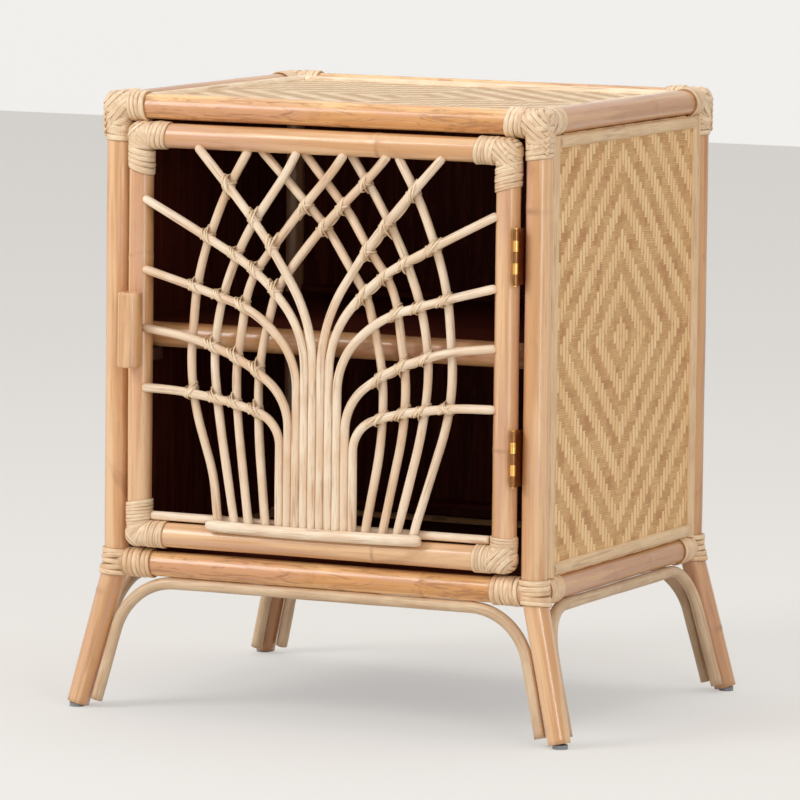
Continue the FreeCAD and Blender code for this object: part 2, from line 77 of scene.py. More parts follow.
ROD_R = 4.4
ROD_PITCH = 8.95
LAYER = 9.0
FAN_Y = DOOR_Y - 9.5
BEHIND_Y = FAN_Y + LAYER
HEAD_Y = BEHIND_Y - 0.7 * LAYER
ROD_FOOT_Z = 9.0
SILL_HALF, SILL_Z = 186.0, 198.7
CLAMP_HALF, CLAMP_Z = 118.0, 194.6
CLAMP_OUT, CLAMP_HALF_H = 6.0, 5.9
CLAMP_SAG = 1.6

# The dark beads beside the wall boards, painted shade in the slits there: how far outside the posts' centres,
# and how far in from them.
EDGE_BEAD_R = 1.5
EDGE_BEAD_OUT = 2.8
EDGE_BEAD_IN = POLE_R + 0.9

# A mat's pale columns and tan rows, how many rows a diamond climbs for each column, how many columns it
# takes to repeat, and the part of the repeat in which the columns lie over the rows.
WEAVE_COLUMN, WEAVE_ROW = 7.25, 2.42
WEAVE_CLIMB = 3.0
WEAVE_REPEAT = 6.0
PALE_PART = 0.45


# ---------------------------------------------------------------- shader sockets
class Shader:
    """A material's node tree, with one method that makes any node in it."""

    def __init__(self, name, constants=None):
        self.material = bpy.data.materials.new(name)
        self.material.use_nodes = True
        self.tree = self.material.node_tree
        self.surface = self.tree.nodes["Principled BSDF"]
        for socket, value in (constants or {}).items():
            self.surface.inputs[socket].default_value = value

    def node(self, kind, settings=None, inputs=None, out=0):
        """A node of a kind, its settings made first and then its sockets filled, as one output."""
        made = self.tree.nodes.new("ShaderNode" + kind)
        for name, value in (settings or {}).items():
            setattr(made, name, value)
        for key, value in (inputs or {}).items():
            if isinstance(value, Field):
                self.tree.links.new(value.socket, made.inputs[key])
            else:
                made.inputs[key].default_value = value
        return Field(self, made.outputs[out])

    def set(self, socket, field):
        self.tree.links.new(field.socket, self.surface.inputs[socket])

    def uv(self):
        return self.node("TexCoord", out="UV")

    def place(self):
        return self.node("TexCoord", out="Object")

    def own(self, name):
        """A number that the mesh carries at each of its points."""
        return self.node("Attribute", {"attribute_name": name}, out="Fac")

    def split(self, vector):
        outputs = self.node("SeparateXYZ", inputs={"Vector": vector}).socket.node.outputs
        return [Field(self, output) for output in outputs]

    def stretch(self, vector, x, y, z):
        return self.node("VectorMath", {"operation": "MULTIPLY"}, {0: vector, 1: (x, y, z)})

    def noise(self, vector, scale, detail=3.0, roughness=0.55, distortion=0.0):
        return self.node("TexNoise", inputs={"Vector": vector, "Scale": scale, "Detail": detail,
                                             "Roughness": roughness, "Distortion": distortion})

    def streaks(self, along, scale, detail=3.0, roughness=0.55, distortion=0.0):
        """Noise on the piece's own map, drawn out along it: along is its pace there, 1 being undrawn."""
        return self.noise(self.stretch(self.uv(), 1.0, along, 1.0), scale, detail, roughness, distortion)

    def lot(self, x, y):
        """A random number from 0 to 1 for each pair of values."""
        pair = self.node("CombineXYZ", inputs={0: x, 1: y})
        return self.node("TexWhiteNoise", {"noise_dimensions": "2D"}, {"Vector": pair}, out="Value")

    def mix(self, share, a, b):
        a, b = [c if isinstance(c, Field) else (*c, 1.0) for c in (a, b)]
        return self.node("Mix", {"data_type": "RGBA"}, {0: share, 6: a, 7: b}, out=2)

    def bump(self, height, depth, strength):
        relief = {"Height": height, "Distance": depth, "Strength": strength}
        self.set("Normal", self.node("Bump", inputs=relief))


class Field:
    """A socket's output that does arithmetic: each operation adds its Math node."""

    def __init__(self, shader, socket):
        self.shader = shader
        self.socket = socket

    def math(self, operation, *others):
        return self.shader.node("Math", {"operation": operation}, dict(enumerate((self, *others))))

    def __add__(self, other):
        return self.math("ADD", other)

    def __sub__(self, other):
        return self.math("SUBTRACT", other)

    def __mul__(self, other):
        return self.math("MULTIPLY", other)

    def __truediv__(self, other):
        return self.math("DIVIDE", other)

    def __radd__(self, other):
        return self + other

    def __rsub__(self, other):
        return self * -1.0 + other

    def __rmul__(self, other):
        return self * other

    def floor(self):
        return self.math("FLOOR")

    def frac(self):
        return self.math("FRACT")

    def abs(self):
        return self.math("ABSOLUTE")

    def under(self, limit):
        return self.math("LESS_THAN", limit)

    def ease(self, low, high):
        """0 below low, 1 above high and a smooth step between."""
        return self.shader.node("MapRange", {"interpolation_type": "SMOOTHSTEP"},
                                {"Value": self, "From Min": low, "From Max": high})


# ---------------------------------------------------------------- materials
SCAR_BROWN = (0.26, 0.12, 0.05)
RIPPLE_BROWN = (0.33, 0.13, 0.045)
FLECK_TAN = (0.50, 0.29, 0.16)
# Painted shade: in the grooves between wound turns, in the slits beside a mat's upright floats and in the
# gaps between its rows.
GROOVE_SHADE_BROWN = (0.36, 0.19, 0.085)
SLIT_SHADE_BROWN = (0.27, 0.14, 0.055)
ROW_GAP_SHADE_BROWN = (0.3, 0.15, 0.06)
STAIN_DARK, STAIN_WARM, STAIN_GRAIN = (0.075, 0.011, 0.007), (0.16, 0.034, 0.015), (0.24, 0.085, 0.04)
CORE_FIBRES, CORE_FLECKS = 620.0, 260.0
CORE_DRAWN = 0.05
BOARD_DRAWN = 0.06


def pole_material(name, pale, warm, dark, blush, figure=0.0):
    """Skinned rattan under clear satin varnish: bands of a paler, a warmer and a pinker tone run along the
    pole, with streaks and dark pores in them and a dark line at each joint of the cane.  figure is how
    far a rippled brown grain shows as well."""
    s = Shader(name, {"Coat Roughness": 0.12, "Specular IOR Level": 0.45})
    band = s.streaks(0.04, 62.0)
    rosy = s.streaks(0.06, 44.0, 2.0, 0.5, 0.6)
    streak = s.streaks(0.035, 300.0, 5.0, 0.7)
    fibre = s.streaks(0.015, 1100.0, 2.0)
    patch = s.streaks(0.3, 26.0, 4.0, 0.6, 1.2)
    colour = s.mix(band.ease(0.44, 0.58), pale, warm)
    colour = s.mix(rosy.ease(0.5, 0.6) * 0.7, colour, blush)
    colour = s.mix(streak.ease(0.52, 0.68) * 0.36, colour, dark)
    colour = s.mix(streak.ease(0.44, 0.3) * 0.45, colour, pale)
    colour = s.mix(fibre.ease(0.54, 0.7) * 0.2, colour, dark)
    if figure:
        ripple = s.streaks(0.14, 120.0, 5.0, 0.7, 1.6)
        colour = s.mix(ripple.ease(0.5, 0.62) * figure, colour, RIPPLE_BROWN)
    colour = s.mix(patch.ease(0.56, 0.74) * 0.4, colour, dark)
    colour = s.mix(s.own("joint") * 0.5, colour, SCAR_BROWN)
    s.set("Base Color", colour)
    s.set("Roughness", streak * 0.16 + 0.28)
    s.set("Coat Weight", 0.75 - patch * 0.35)
    s.bump(streak * 0.7 + fibre * 0.3, 0.00022, 0.7)
    return s.material


def core_material(name, pale, tan, frame_of=None):
    """Peeled rattan: pale, with fine fibres along the rod and a few tan flecks.  The fibres follow the
    mesh's own map.  For a frame of four strips, frame_of is (the axis across, its middle, how far out the
    upright strips begin, the axis up): there they follow each strip."""
    s = Shader(name, {"Coat Weight": 0.15, "Coat Roughness": 0.3})
    if frame_of:
        across, middle, reach, up = frame_of
        where = s.place()
        upright = 1.0 - (s.split(where)[across] - middle * MM).abs().under(reach * MM)
        level_ways, upright_ways = [
            s.stretch(where, *[CORE_DRAWN if i == along else 1.0 for i in range(3)])
            for along in (across, up)]
        fibre, fleck = [
            s.noise(level_ways, scale) * (1.0 - upright) + s.noise(upright_ways, scale) * upright
            for scale in (CORE_FIBRES, CORE_FLECKS)]
    else:
        where = s.uv()
        fibre, fleck = [s.streaks(CORE_DRAWN, scale) for scale in (CORE_FIBRES, CORE_FLECKS)]
    cloud = s.noise(where, 17.0)
    colour = s.mix(cloud.ease(0.4, 0.65) * 0.55 + s.own("tone") * 0.6, pale, tan)
    colour = s.mix(fibre.ease(0.46, 0.66) * 0.6, colour, tan)
    colour = s.mix(fleck.ease(0.56, 0.66) * 0.6, colour, FLECK_TAN)
    s.set("Base Color", colour)
    s.set("Roughness", fibre * 0.2 + 0.4)
    s.bump(fibre, 0.0001, 0.6)
    return s.material


def peel_material(name, pale, tan, dark):
    """Wound rattan peel: each turn has its own tone, and painted shade darkens the grooves between turns."""
    s = Shader(name, {"Coat Weight": 0.25, "Coat Roughness": 0.25})
    fibre = s.streaks(0.06, 1100.0, 2.0)
    cloud = s.noise(s.uv(), 60.0, 2.0)
    colour = s.mix(s.own("tone") * 0.7 + cloud.ease(0.45, 0.65) * 0.3, pale, tan)
    colour = s.mix(fibre.ease(0.5, 0.66) * 0.4, colour, dark)
    # Painted shade in the grooves, at the edges of each turn.
    colour = s.mix(s.own("groove").ease(0.45, 1.0) * 0.62, colour, GROOVE_SHADE_BROWN)
    s.set("Base Color", colour)
    s.set("Roughness", fibre * 0.15 + 0.36)
    s.bump(fibre, 0.0001, 0.5)
    return s.material


def weave_material(name, across, up, centre, pale, tan, shade, rust):
    """Twilled rattan skin.  Pale strands stand in columns and narrower tan ones run across in rows.  A
    column shows over a row where |column| + |row| / WEAVE_CLIMB, counted from the centre, falls in the
    first part of its repeat, so the upright floats draw diamonds about the centre."""
    s = Shader(name, {"Coat Weight": 0.06, "Coat Roughness": 0.4, "Specular IOR Level": 0.3})
    place = s.split(s.place())
    sway = s.noise(s.place(), 26.0, 2.0) - 0.5
    drift = s.noise(s.stretch(s.place(), 1.0, 1.0, 1.3), 9.0, 1.0) - 0.5
    a = (place[across] - centre[0] * MM + sway * 0.003 + drift * 0.004) / (WEAVE_COLUMN * MM) + 0.5
    b = (place[up] - centre[1] * MM + sway * 0.002 + drift * 0.006) / (WEAVE_ROW * MM) + 0.5
    column, row = a.floor(), b.floor()
    diamond = (column.abs() + row.abs() / WEAVE_CLIMB) / WEAVE_REPEAT
    over = diamond.frac().under(PALE_PART)

    # smooth runs on through the rows, so that each upright float tapers towards its two ends.
    smooth = ((column.abs() + (b - 0.5).abs() / WEAVE_CLIMB) / WEAVE_REPEAT).frac()
    float_end = (smooth / PALE_PART * 2.0 - 1.0).abs().math("MINIMUM", 1.0)
    half = 0.5 - float_end.math("POWER", 6.0) * 0.16
    upright = 1.0 - ((a.frac() - 0.5).abs() / half).ease(0.78, 1.0)
    level = 1.0 - ((b.frac() - 0.5).abs() * 2.0).ease(0.5, 1.0)

    grain = s.noise(s.stretch(s.place(), 1.0, 1.0, 0.25), 700.0, 2.0)
    cross_grain = s.noise(s.stretch(s.place(), 0.3, 0.3, 1.0), 500.0, 2.0)
    cloud = s.noise(s.place(), 30.0)
    float_lot = s.lot(column * 1.37, diamond.floor() * 2.9)
    row_lot = s.node("TexWhiteNoise", {"noise_dimensions": "1D"}, {"W": row * 1.91 + 7.7}, out="Value")
    patch_lot = s.lot((column / 2.0).floor() * 3.1, (row / 4.0).floor() * 1.7)
    pale_strand = s.mix(float_lot * 0.6 + grain.ease(0.45, 0.7) * 0.35, pale, tan)
    # Painted shade in the slits beside each upright float, fading along it.
    pale_strand = s.mix((1.0 - upright) * (0.9 - smooth * 1.2), pale_strand, SLIT_SHADE_BROWN)
    tan_strand = s.mix(row_lot * 0.4 + cross_grain.ease(0.4, 0.7) * 0.4, tan, shade)
    tan_strand = s.mix(patch_lot.ease(0.4, 1.0) * 0.45 + cloud.ease(0.46, 0.62) * 0.45, tan_strand, rust)
    # Painted shade in the gaps between the tan rows.
    tan_strand = s.mix((1.0 - level) * 0.35, tan_strand, ROW_GAP_SHADE_BROWN)
    s.set("Base Color", s.mix(over, tan_strand, pale_strand))
    s.set("Roughness", grain * 0.1 + 0.42)
    s.bump(over * upright * (1.0 - float_end * 0.5) + (1.0 - over) * level * 0.3, 0.0012, 0.9)
    return s.material


def board_material(name, along):
    """Plywood stained almost black, with a long faint brown grain."""
    s = Shader(name, {"Specular IOR Level": 0.12})
    drawn = s.stretch(s.place(), *[BOARD_DRAWN if i == along else 1.0 for i in range(3)])
    grain = s.noise(drawn, 130.0, 5.0, 0.65, 0.4)
    fine = s.noise(drawn, 700.0, 2.0)
    colour = s.mix(grain.ease(0.4, 0.72), STAIN_DARK, STAIN_WARM)
    s.set("Base Color", s.mix(fine.ease(0.55, 0.72) * 0.3, colour, STAIN_GRAIN))
    s.set("Roughness", grain * 0.2 + 0.5)
    s.bump(fine, 0.0001, 0.4)
    return s.material


def worn_material(name, colour, worn, share, scale, roughness, metallic):
    """One colour with faint wear in spots: share is how far the worn colour shows in them."""
    s = Shader(name, {"Metallic": metallic})
    wear = s.noise(s.place(), scale)
    s.set("Base Color", s.mix(wear.ease(0.45, 0.7) * share, colour, worn))
    s.set("Roughness", wear * 0.2 + (roughness - 0.1))
    return s.material


HONEY = pole_material("varnished_pole", pale=(0.85, 0.535, 0.295), warm=(0.68, 0.36, 0.157),
                      dark=(0.42, 0.18, 0.07), blush=(0.68, 0.375, 0.24))
# A darker, redder copy of the varnish for the back posts, the side rails and the shelf pole: partly the
# cane's own deeper tone, partly painted shade for poles set back from the light.
RUSSET_AND_SHADE = pole_material("varnished_pole_russet_and_shade", pale=(0.70, 0.39, 0.185), warm=(0.55, 0.26, 0.105),
                       dark=(0.33, 0.13, 0.05), blush=(0.57, 0.28, 0.15))
AMBER = pole_material("varnished_pole_amber", pale=(0.96, 0.60, 0.28), warm=(0.72, 0.34, 0.11),
                      dark=(0.40, 0.15, 0.045), blush=(0.68, 0.34, 0.18), figure=0.6)

STRIP_TONES = (0.82, 0.60, 0.36), (0.66, 0.43, 0.24)
TOP_STRIP_TONES = (0.95, 0.78, 0.56), (0.78, 0.56, 0.36)
STRIP_IN = 30.0
CORE = core_material("peeled_rod", (0.94, 0.79, 0.61), (0.77, 0.53, 0.34))
CORE_TAN = core_material("peeled_brace", (0.73, 0.54, 0.35), (0.54, 0.35, 0.20))
SIDE_STRIP = core_material("peeled_strip_side", *STRIP_TONES, (1, MID_Y, HALF_Y - STRIP_IN, 2))
BACK_STRIP = core_material("peeled_strip_back", *STRIP_TONES, (0, 0.0, HALF_X - STRIP_IN, 2))
TOP_STRIP = core_material("peeled_strip_top", *TOP_STRIP_TONES, (0, 0.0, HALF_X - STRIP_IN, 1))

PEEL_WRAP = peel_material("wound_peel", (0.92, 0.72, 0.49), (0.72, 0.47, 0.28), (0.52, 0.32, 0.17))
PEEL_TAN = peel_material("wound_peel_tan", (0.94, 0.71, 0.47), (0.70, 0.42, 0.22), (0.48, 0.27, 0.12))
PEEL_TIE = peel_material("tying_peel", (0.94, 0.76, 0.54), (0.78, 0.55, 0.34), (0.52, 0.33, 0.17))

STRANDS = ((1.0, 0.68, 0.36), (0.86, 0.53, 0.23), (0.62, 0.34, 0.13), (0.56, 0.26, 0.09))
TOP_STRANDS = ((0.98, 0.76, 0.50), (0.74, 0.52, 0.30), (0.46, 0.28, 0.13), (0.56, 0.31, 0.15))
DIAMOND_Z = 384.0
SIDE_WEAVE = weave_material("side_weave", 1, 2, (MID_Y - 7.0, DIAMOND_Z), *STRANDS)
BACK_WEAVE = weave_material("back_weave", 0, 2, (0.0, DIAMOND_Z), *STRANDS)
TOP_WEAVE = weave_material("top_weave", 0, 1, (0.0, MID_Y), *TOP_STRANDS)

BOARD_X = board_material("stained_board_x", 0)
BOARD_Z = board_material("stained_board_z", 2)
BRASS = worn_material("bright_brass", (0.97, 0.58, 0.18), (0.62, 0.30, 0.08), 0.35, 260.0, 0.2, 1.0)
# The post's leaves: the same brass as the door's, painted dark for the shade and dark reflection of the gap
# they face; the spots are wear.
SHADED_BRASS = worn_material("brass_painted_shade", (0.34, 0.16, 0.06), (0.2, 0.07, 0.03), 0.5, 260.0, 0.24, 1.0)
GREY = worn_material("grey_plastic", (0.25, 0.27, 0.3), (0.4, 0.42, 0.45), 0.3, 400.0, 0.5, 0.0)
BROWN = worn_material("brown_plastic", (0.07, 0.03, 0.018), (0.12, 0.06, 0.04), 0.3, 400.0, 0.4, 0.0)
STEEL = worn_material("dull_steel", (0.5, 0.5, 0.5), (0.25, 0.24, 0.23), 0.4, 400.0, 0.35, 1.0)
SCREW = worn_material("dark_screw", (0.12, 0.09, 0.06), (0.3, 0.22, 0.12), 0.4, 900.0, 0.4, 1.0)


# ---------------------------------------------------------------- paths
ARC_SHARE = 0.48
STEP = 3.0
DOME_STEPS = (0.0, 0.04, 0.15, 0.35, 0.65)


def unit(vectors):
    return vectors / np.linalg.norm(vectors, axis=-1, keepdims=True)


def along_path(path):
    """How far along a path each of its points lies."""
    return np.concatenate([[0], np.cumsum(np.linalg.norm(np.diff(path, axis=0), axis=1))])


def line_points(start, end, step):
    """Even steps from start, which is left out, to end."""
    count = max(int(np.linalg.norm(end - start) / step), 1)
    return start + (end - start) * (np.arange(1, count + 1) / count)[:, None]


def line(start, end, step=STEP):
    """Points of a straight path, both ends among them."""
    start, end = np.asarray(start, float), np.asarray(end, float)
    return np.concatenate([start[None], line_points(start, end, step)])


def rail_line(start, end):
    """Points a step apart from start, as far as they go before a millimetre past end."""
    start, end = np.asarray(start, float), np.asarray(end, float)
    run = np.arange(0.0, np.linalg.norm(end - start) + 1.0, STEP)
    return start + unit(end - start) * run[:, None]


def rounded_route(corners, radius=None, step=STEP):
    """Points along straight runs joined by arcs.  An arc takes a share of the shorter run at its corner,
    or what its radius needs, and turns from v to w about its centre as
    (sin(turn - a) v + sin(a) w) / sin(turn)."""
    corners = np.asarray(corners, float)
    runs = np.linalg.norm(np.diff(corners, axis=0), axis=1)
    ways = np.diff(corners, axis=0) / runs[:, None]
    legs = [corners[:1]]
    last = corners[0]
    for i in range(1, len(corners) - 1):
        turn = math.acos(np.clip(ways[i - 1] @ ways[i], -1, 1))
        cut = ARC_SHARE * min(runs[i - 1], runs[i]) if radius is None else radius * math.tan(turn / 2)
        enter, leave = corners[i] - ways[i - 1] * cut, corners[i] + ways[i] * cut
        legs.append(line_points(last, enter, 2 * step))
        centre = corners[i] + unit(ways[i] - ways[i - 1]) * (cut / math.sin(turn / 2))
        count = max(int(2 * cut / step), 3)
        swing = (np.arange(1, count + 1) / count * turn)[:, None]
        legs.append(centre + (np.sin(turn - swing) * (enter - centre) + np.sin(swing) * (leave - centre))
                    / math.sin(turn))
        last = leave
    legs.append(line_points(last, corners[-1], 2 * step))
    return np.concatenate(legs)


def with_dense_ends(path, reach):
    """The path with points close together at both ends, where its ends are rounded."""
    steps = np.array(DOME_STEPS)[:, None] * reach
    first, last = unit(path[1] - path[0]), unit(path[-1] - path[-2])
    along = along_path(path)
    middle = path[(along > reach * 0.9) & (along < along[-1] - reach * 0.9)]
    return np.concatenate([path[0] + first * steps, middle, path[-1] - last * steps[::-1]])


def round_ends(path, radius, reach, blunt):
    """A radius for each row that closes both ends of a rod as a dome: radius * sqrt(1 - (1 - d)^2), where
    d is the distance from the end over the reach.  blunt is the share of the radius left at the tip."""
    along = along_path(path)
    near = np.clip(np.minimum(along, along[-1] - along) / reach, 0, 1)
    return radius * (blunt + (1 - blunt) * np.sqrt(1 - (1 - near) ** 2))


def tube(path, radius, level, columns):
    """Points of a tube: path + radius * (cos a * side + sin a * other), with a going once round, side
    square to the path and to the level direction, and other square to both.  radius is one number, or
    one for each row, or one for each point."""
    ahead = unit(np.gradient(path, axis=0))
    side = unit(np.cross(ahead, np.asarray(level, float)))
    other = np.cross(side, ahead)
    angle = np.arange(columns) / columns * 2 * math.pi
    reach = np.asarray(radius, float)
    reach = reach if reach.ndim == 2 else np.broadcast_to(reach.reshape(-1, 1), (len(path), columns))
    ring = np.cos(angle)[None, :, None] * side[:, None] + np.sin(angle)[None, :, None] * other[:, None]
    return path[:, None] + reach[..., None] * ring


def tube_map(path, columns, radius, seed):
    """The map of a tube in metres: round it and along it, moved to a place of its own by a seed."""
    u = np.arange(columns + 1) / columns * 2 * math.pi * radius
    return (u + seed * 311.0) * MM, (along_path(path) + seed * 977.0) * MM


# ---------------------------------------------------------------- meshes
class Skin:
    """One piece's mesh, joined from closed tubes.  A tube is a grid of points in millimetres, rows by
    columns by 3: its last column joins its first, and its end rows are closed by flat faces, or joined
    to each other where it is a ring.  Its faces are turned outwards by the sign of its volume.  Each
    field is a number that every point carries, 0 where a tube says nothing of it."""

    def __init__(self, *fields):
        self.fields = {label: [] for label in fields}
        self.points, self.uvs, self.quads, self.caps = [], [], [], []
        self.cap_uvs, self.count = [], 0

    def add(self, points, u, v, ring=False, **fields):
        """u has a value for each column line and one more for the seam; v has one for each row, and one
        more where the tube is a ring."""
        rows, columns = points.shape[:2]
        row = np.arange(rows if ring else rows - 1)[:, None]
        column = np.arange(columns)[None, :]
        index = np.arange(rows * columns).reshape(rows, columns)
        right, below = (column + 1) % columns, (row + 1) % rows
        order = [(row, column, 0, 0), (below, column, 1, 0), (below, right, 1, 1), (row, right, 0, 1)]
        corners = np.stack([index[r, c] for r, c, dr, dc in order], axis=-1)
        flat = points.reshape(-1, 3) - points.reshape(-1, 3).mean(axis=0)
        a, b, c, d = [flat[corners[..., i]] for i in range(4)]
        volume = (np.cross(a, b) * c + np.cross(a, c) * d).sum()
        uv = np.stack([np.stack(np.broadcast_arrays(u[column + dc], v[row + dr]), axis=-1)
                       for r, c, dr, dc in order], axis=2)
        ends = [] if ring else [index[0], index[-1][::-1]]
        if volume < 0:
            corners, uv = corners[..., ::-1], uv[:, :, ::-1]
            ends = [end[::-1] for end in ends]
        self.quads.append(corners.reshape(-1, 4) + self.count)
        self.uvs.append(uv.reshape(-1, 2))
        self.caps += [(end + self.count).tolist() for end in ends]
        self.cap_uvs += [np.tile((u[0], v[0]), (columns, 1)) for end in ends]
        self.points.append(points.reshape(-1, 3) * MM)
        for label, values in self.fields.items():
            values.append(np.broadcast_to(fields.get(label, 0.0), (rows, columns)).ravel())
        self.count += rows * columns

    def add_tube(self, path, radius, level, columns, map_radius, seed, **fields):
        """A tube along a path, with the map of one of map_radius."""
        u, v = tube_map(path, columns, map_radius, seed)
        self.add(tube(path, radius, level, columns), u, v, **fields)

    def finish(self, name, material, body, slot, *stands_for):
        """The mesh as a piece of the object, on its body, for the CAD nodes that it stands for."""
        quads = np.concatenate(self.quads)
        mesh = bpy.data.meshes.new(name)
        mesh.from_pydata(np.concatenate(self.points).tolist(), [], quads.tolist() + self.caps)
        layer = mesh.uv_layers.new(name="UVMap")
        layer.data.foreach_set("uv", np.concatenate(self.uvs + self.cap_uvs).astype(np.float32).ravel())
        for label, values in self.fields.items():
            spread = mesh.attributes.new(label, "FLOAT", "POINT")
            spread.data.foreach_set("value", np.concatenate(values).astype(np.float32))
        mesh.polygons.foreach_set("use_smooth", np.arange(len(mesh.polygons)) < len(quads))
        mesh.materials.append(material)
        mesh.update()
        piece = bpy.data.objects.new(name, mesh)
        bpy.context.scene.collection.objects.link(piece)
        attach(piece, body)
        if stands_for:
            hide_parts(*stands_for)


CANE_COLUMNS = 40
RING_RIDGE = 0.4


def cane(node, path, radius, body, material, rings=(), level=(0, 1, 0), seed=1.0):
    """A pole of cane.  Its radius swells and shrinks a little along it, as two slow waves, and each ring
    is a joint of the cane: a rounded ridge with a scar line beside it.  It keeps 0.2 inside its solid."""
    along = along_path(path)
    angle = np.arange(CANE_COLUMNS) / CANE_COLUMNS * 2 * math.pi
    swell = 0.10 * np.sin(along / 61.0 + seed) + 0.07 * np.sin(along / 23.0 + 2.3 * seed)
    flat = 0.08 * np.sin(2 * angle + seed)[None, :] + 0.05 * np.sin(3 * angle + along[:, None] / 90.0)
    ridge, scar = np.zeros(len(along)), np.zeros((len(along), CANE_COLUMNS))
    for place in rings:
        ridge += RING_RIDGE * np.exp(-((along - place) / 3.5) ** 2)
        tilt = place + 1.4 * np.sin(angle + seed)
        scar += np.exp(-((along[:, None] - tilt[None, :] - 2.2) / 1.1) ** 2)
    reach = np.broadcast_to(radius, along.shape)[:, None] - 0.2 + swell[:, None] + flat + ridge[:, None]
    skin = Skin("joint")
    skin.add_tube(path, reach, level, CANE_COLUMNS, POLE_R, seed, joint=scar)
    skin.finish(node + "_cane", material, body, "rattan_pole", node)


def add_rod(skin, path, radius, level, columns, seed, tip=0.0, **fields):
    """One rod of core.  Its radius wanders by two slow waves, and its ends are domed where tip is set."""
    if tip:
        path = with_dense_ends(path, tip)
        radius = round_ends(path, radius, tip, 0.12)
    along = along_path(path)
    wander = 1 + 0.022 * np.sin(along / 31.0 + 7 * seed) + 0.014 * np.sin(along / 11.0 + 13 * seed)
    skin.add_tube(path, radius * wander, level, columns, np.max(radius), seed, **fields)


# ---------------------------------------------------------------- windings
LOOP_STEPS = 120
TURN_COLUMNS = 6
BITE = 0.2


class Joint:
    """Poles that start at one place, as (start, way, radius), to be bound together.  power rounds the
    corner behind each start: 2 is a dome and higher powers are squarer."""

    def __init__(self, arms, power=3.0):
        self.arms = [(np.asarray(s, float), unit(np.asarray(w, float)), r) for s, w, r in arms]
        self.power = power

    def share(self, points):
        """How far out points lie, 1 being the surface: the least over the poles of
        ((side / r)^p + (behind / r)^p)^(1/p), side being the distance from a pole's line and behind the
        distance behind its start."""
        shares = []
        for start, way, radius in self.arms:
            away = points - start
            ahead = away @ way
            side = np.linalg.norm(away - ahead[..., None] * way, axis=-1)
            behind = np.maximum(-ahead, 0)
            shares.append(((side / radius) ** self.power + (behind / radius) ** self.power)
                          ** (1 / self.power))
        return np.min(shares, axis=0)

    def loop(self, origin, normal, rows, reach):
        """The closed line that a strand pulled tight takes round the joint in the plane through origin
        that is square to normal.  r(a) is the last point inside the joint in direction a; the strand is
        its convex hull, the least over b of h(b) / cos(a - b) with h(b) the greatest r(a) cos(a - b)."""
        normal = unit(np.asarray(normal, float))
        first = unit(np.cross(normal, [0.31, 0.52, 0.79]))
        second = np.cross(normal, first)
        angle = np.arange(rows) / rows * 2 * math.pi
        ways = np.cos(angle)[:, None] * first + np.sin(angle)[:, None] * second
        out = np.linspace(0, reach, LOOP_STEPS)
        share = self.share(origin + out[None, :, None] * ways[:, None])
        inside = share[:, :-1] <= 1
        inside[:, 0] = True
        last = LOOP_STEPS - 2 - np.argmax(inside[:, ::-1], axis=1)
        row = np.arange(rows)
        low, high = share[row, last], share[row, last + 1]
        radius = out[last] + out[1] * np.clip((1 - low) / (np.abs(high - low) + 1e-9), 0, 1)
        turn = np.cos(angle[:, None] - angle[None, :])
        support = (radius[:, None] * turn).max(axis=0)
        tight = np.where(turn > 0.2, support[None, :] / np.maximum(turn, 0.2), np.inf).min(axis=1)
        return origin + tight[:, None] * ways

    def outward(self, points):
        """The way in which share grows fastest, from differences over half a millimetre, evened out
        between each point of a strand and its two neighbours."""
        steps = np.eye(3) * 0.5
        rise = np.stack([self.share(points + step) - self.share(points - step) for step in steps], axis=-1)
        rise = unit(rise + 1e-9)
        return unit(rise + 0.7 * (np.roll(rise, 1, axis=0) + np.roll(rise, -1, axis=0)))

    def turn(self, skin, origin, normal, width, thick, lift, tone, seed, rows=30, reach=48.0, flat=True,
             dark=1.0):
        """One turn of peel: line + across * width/2 * cos b + out * (lift + thick/2 * (1 + sin b)), with b
        going once round the strand.  A flat turn lies on the joint; another stays square to its plane.
        dark is how deep the painted shade in its edges' grooves looks."""
        line = self.loop(np.asarray(origin, float), normal, rows, reach)
        ahead = unit(np.roll(line, -1, axis=0) - np.roll(line, 1, axis=0))
        across = unit(np.cross(ahead, self.outward(line) if flat else np.cross(ahead, unit(normal))))
        out = np.cross(across, ahead)
        b = np.arange(TURN_COLUMNS) / TURN_COLUMNS * 2 * math.pi
        wide = np.sign(np.cos(b)) * np.abs(np.cos(b)) ** 0.8
        points = (line[:, None] + (width / 2 * wide)[None, :, None] * across[:, None]
                  + (lift + thick / 2 * (1 + np.sin(b)))[None, :, None] * out[:, None])
        u = np.arange(TURN_COLUMNS + 1) / TURN_COLUMNS * 2 * width * MM + seed * 0.377
        run = along_path(np.concatenate([line, line[:1]])) * MM + seed * 0.913
        # The strand's edges carry painted groove shade, as deep as dark says.
        skin.add(points, u, run, ring=True, tone=tone, groove=(dark * np.cos(b) ** 2)[None, :])


class Elbow(Joint):
    """Two poles that turn a corner.  arm_a and arm_b are their ways out of it, inner is where their near
    sides meet, and the windings bite a little into them."""

    def __init__(self, corner, arm_a, arm_b, radius, power):
        super().__init__([(corner, arm, radius - BITE) for arm in (arm_b, arm_a)], power)
        self.arm_a, self.arm_b, self.radius = arm_a, arm_b, radius
        self.inner = corner + radius * arm_a + radius * arm_b


def under_sleeve(skin, corner, arm, radius, length):
    """The first winding on a pole, tan and darkened with painted groove shade, so that it shows as shade
    between the turns over it.
    """
    behind = radius * 0.8
    path = line(corner - arm * behind, corner + arm * length)
    level = (0, 1, 0) if abs(arm[1]) < 0.5 else (1, 0, 0)
    dome = np.clip(1 - along_path(path) / behind, 0, 1)
    girth = (radius + 0.35) * (1 - dome ** 4 * 0.6)
    skin.add_tube(path, girth, level, 24, radius, 0.5, tone=1.0, groove=0.75)


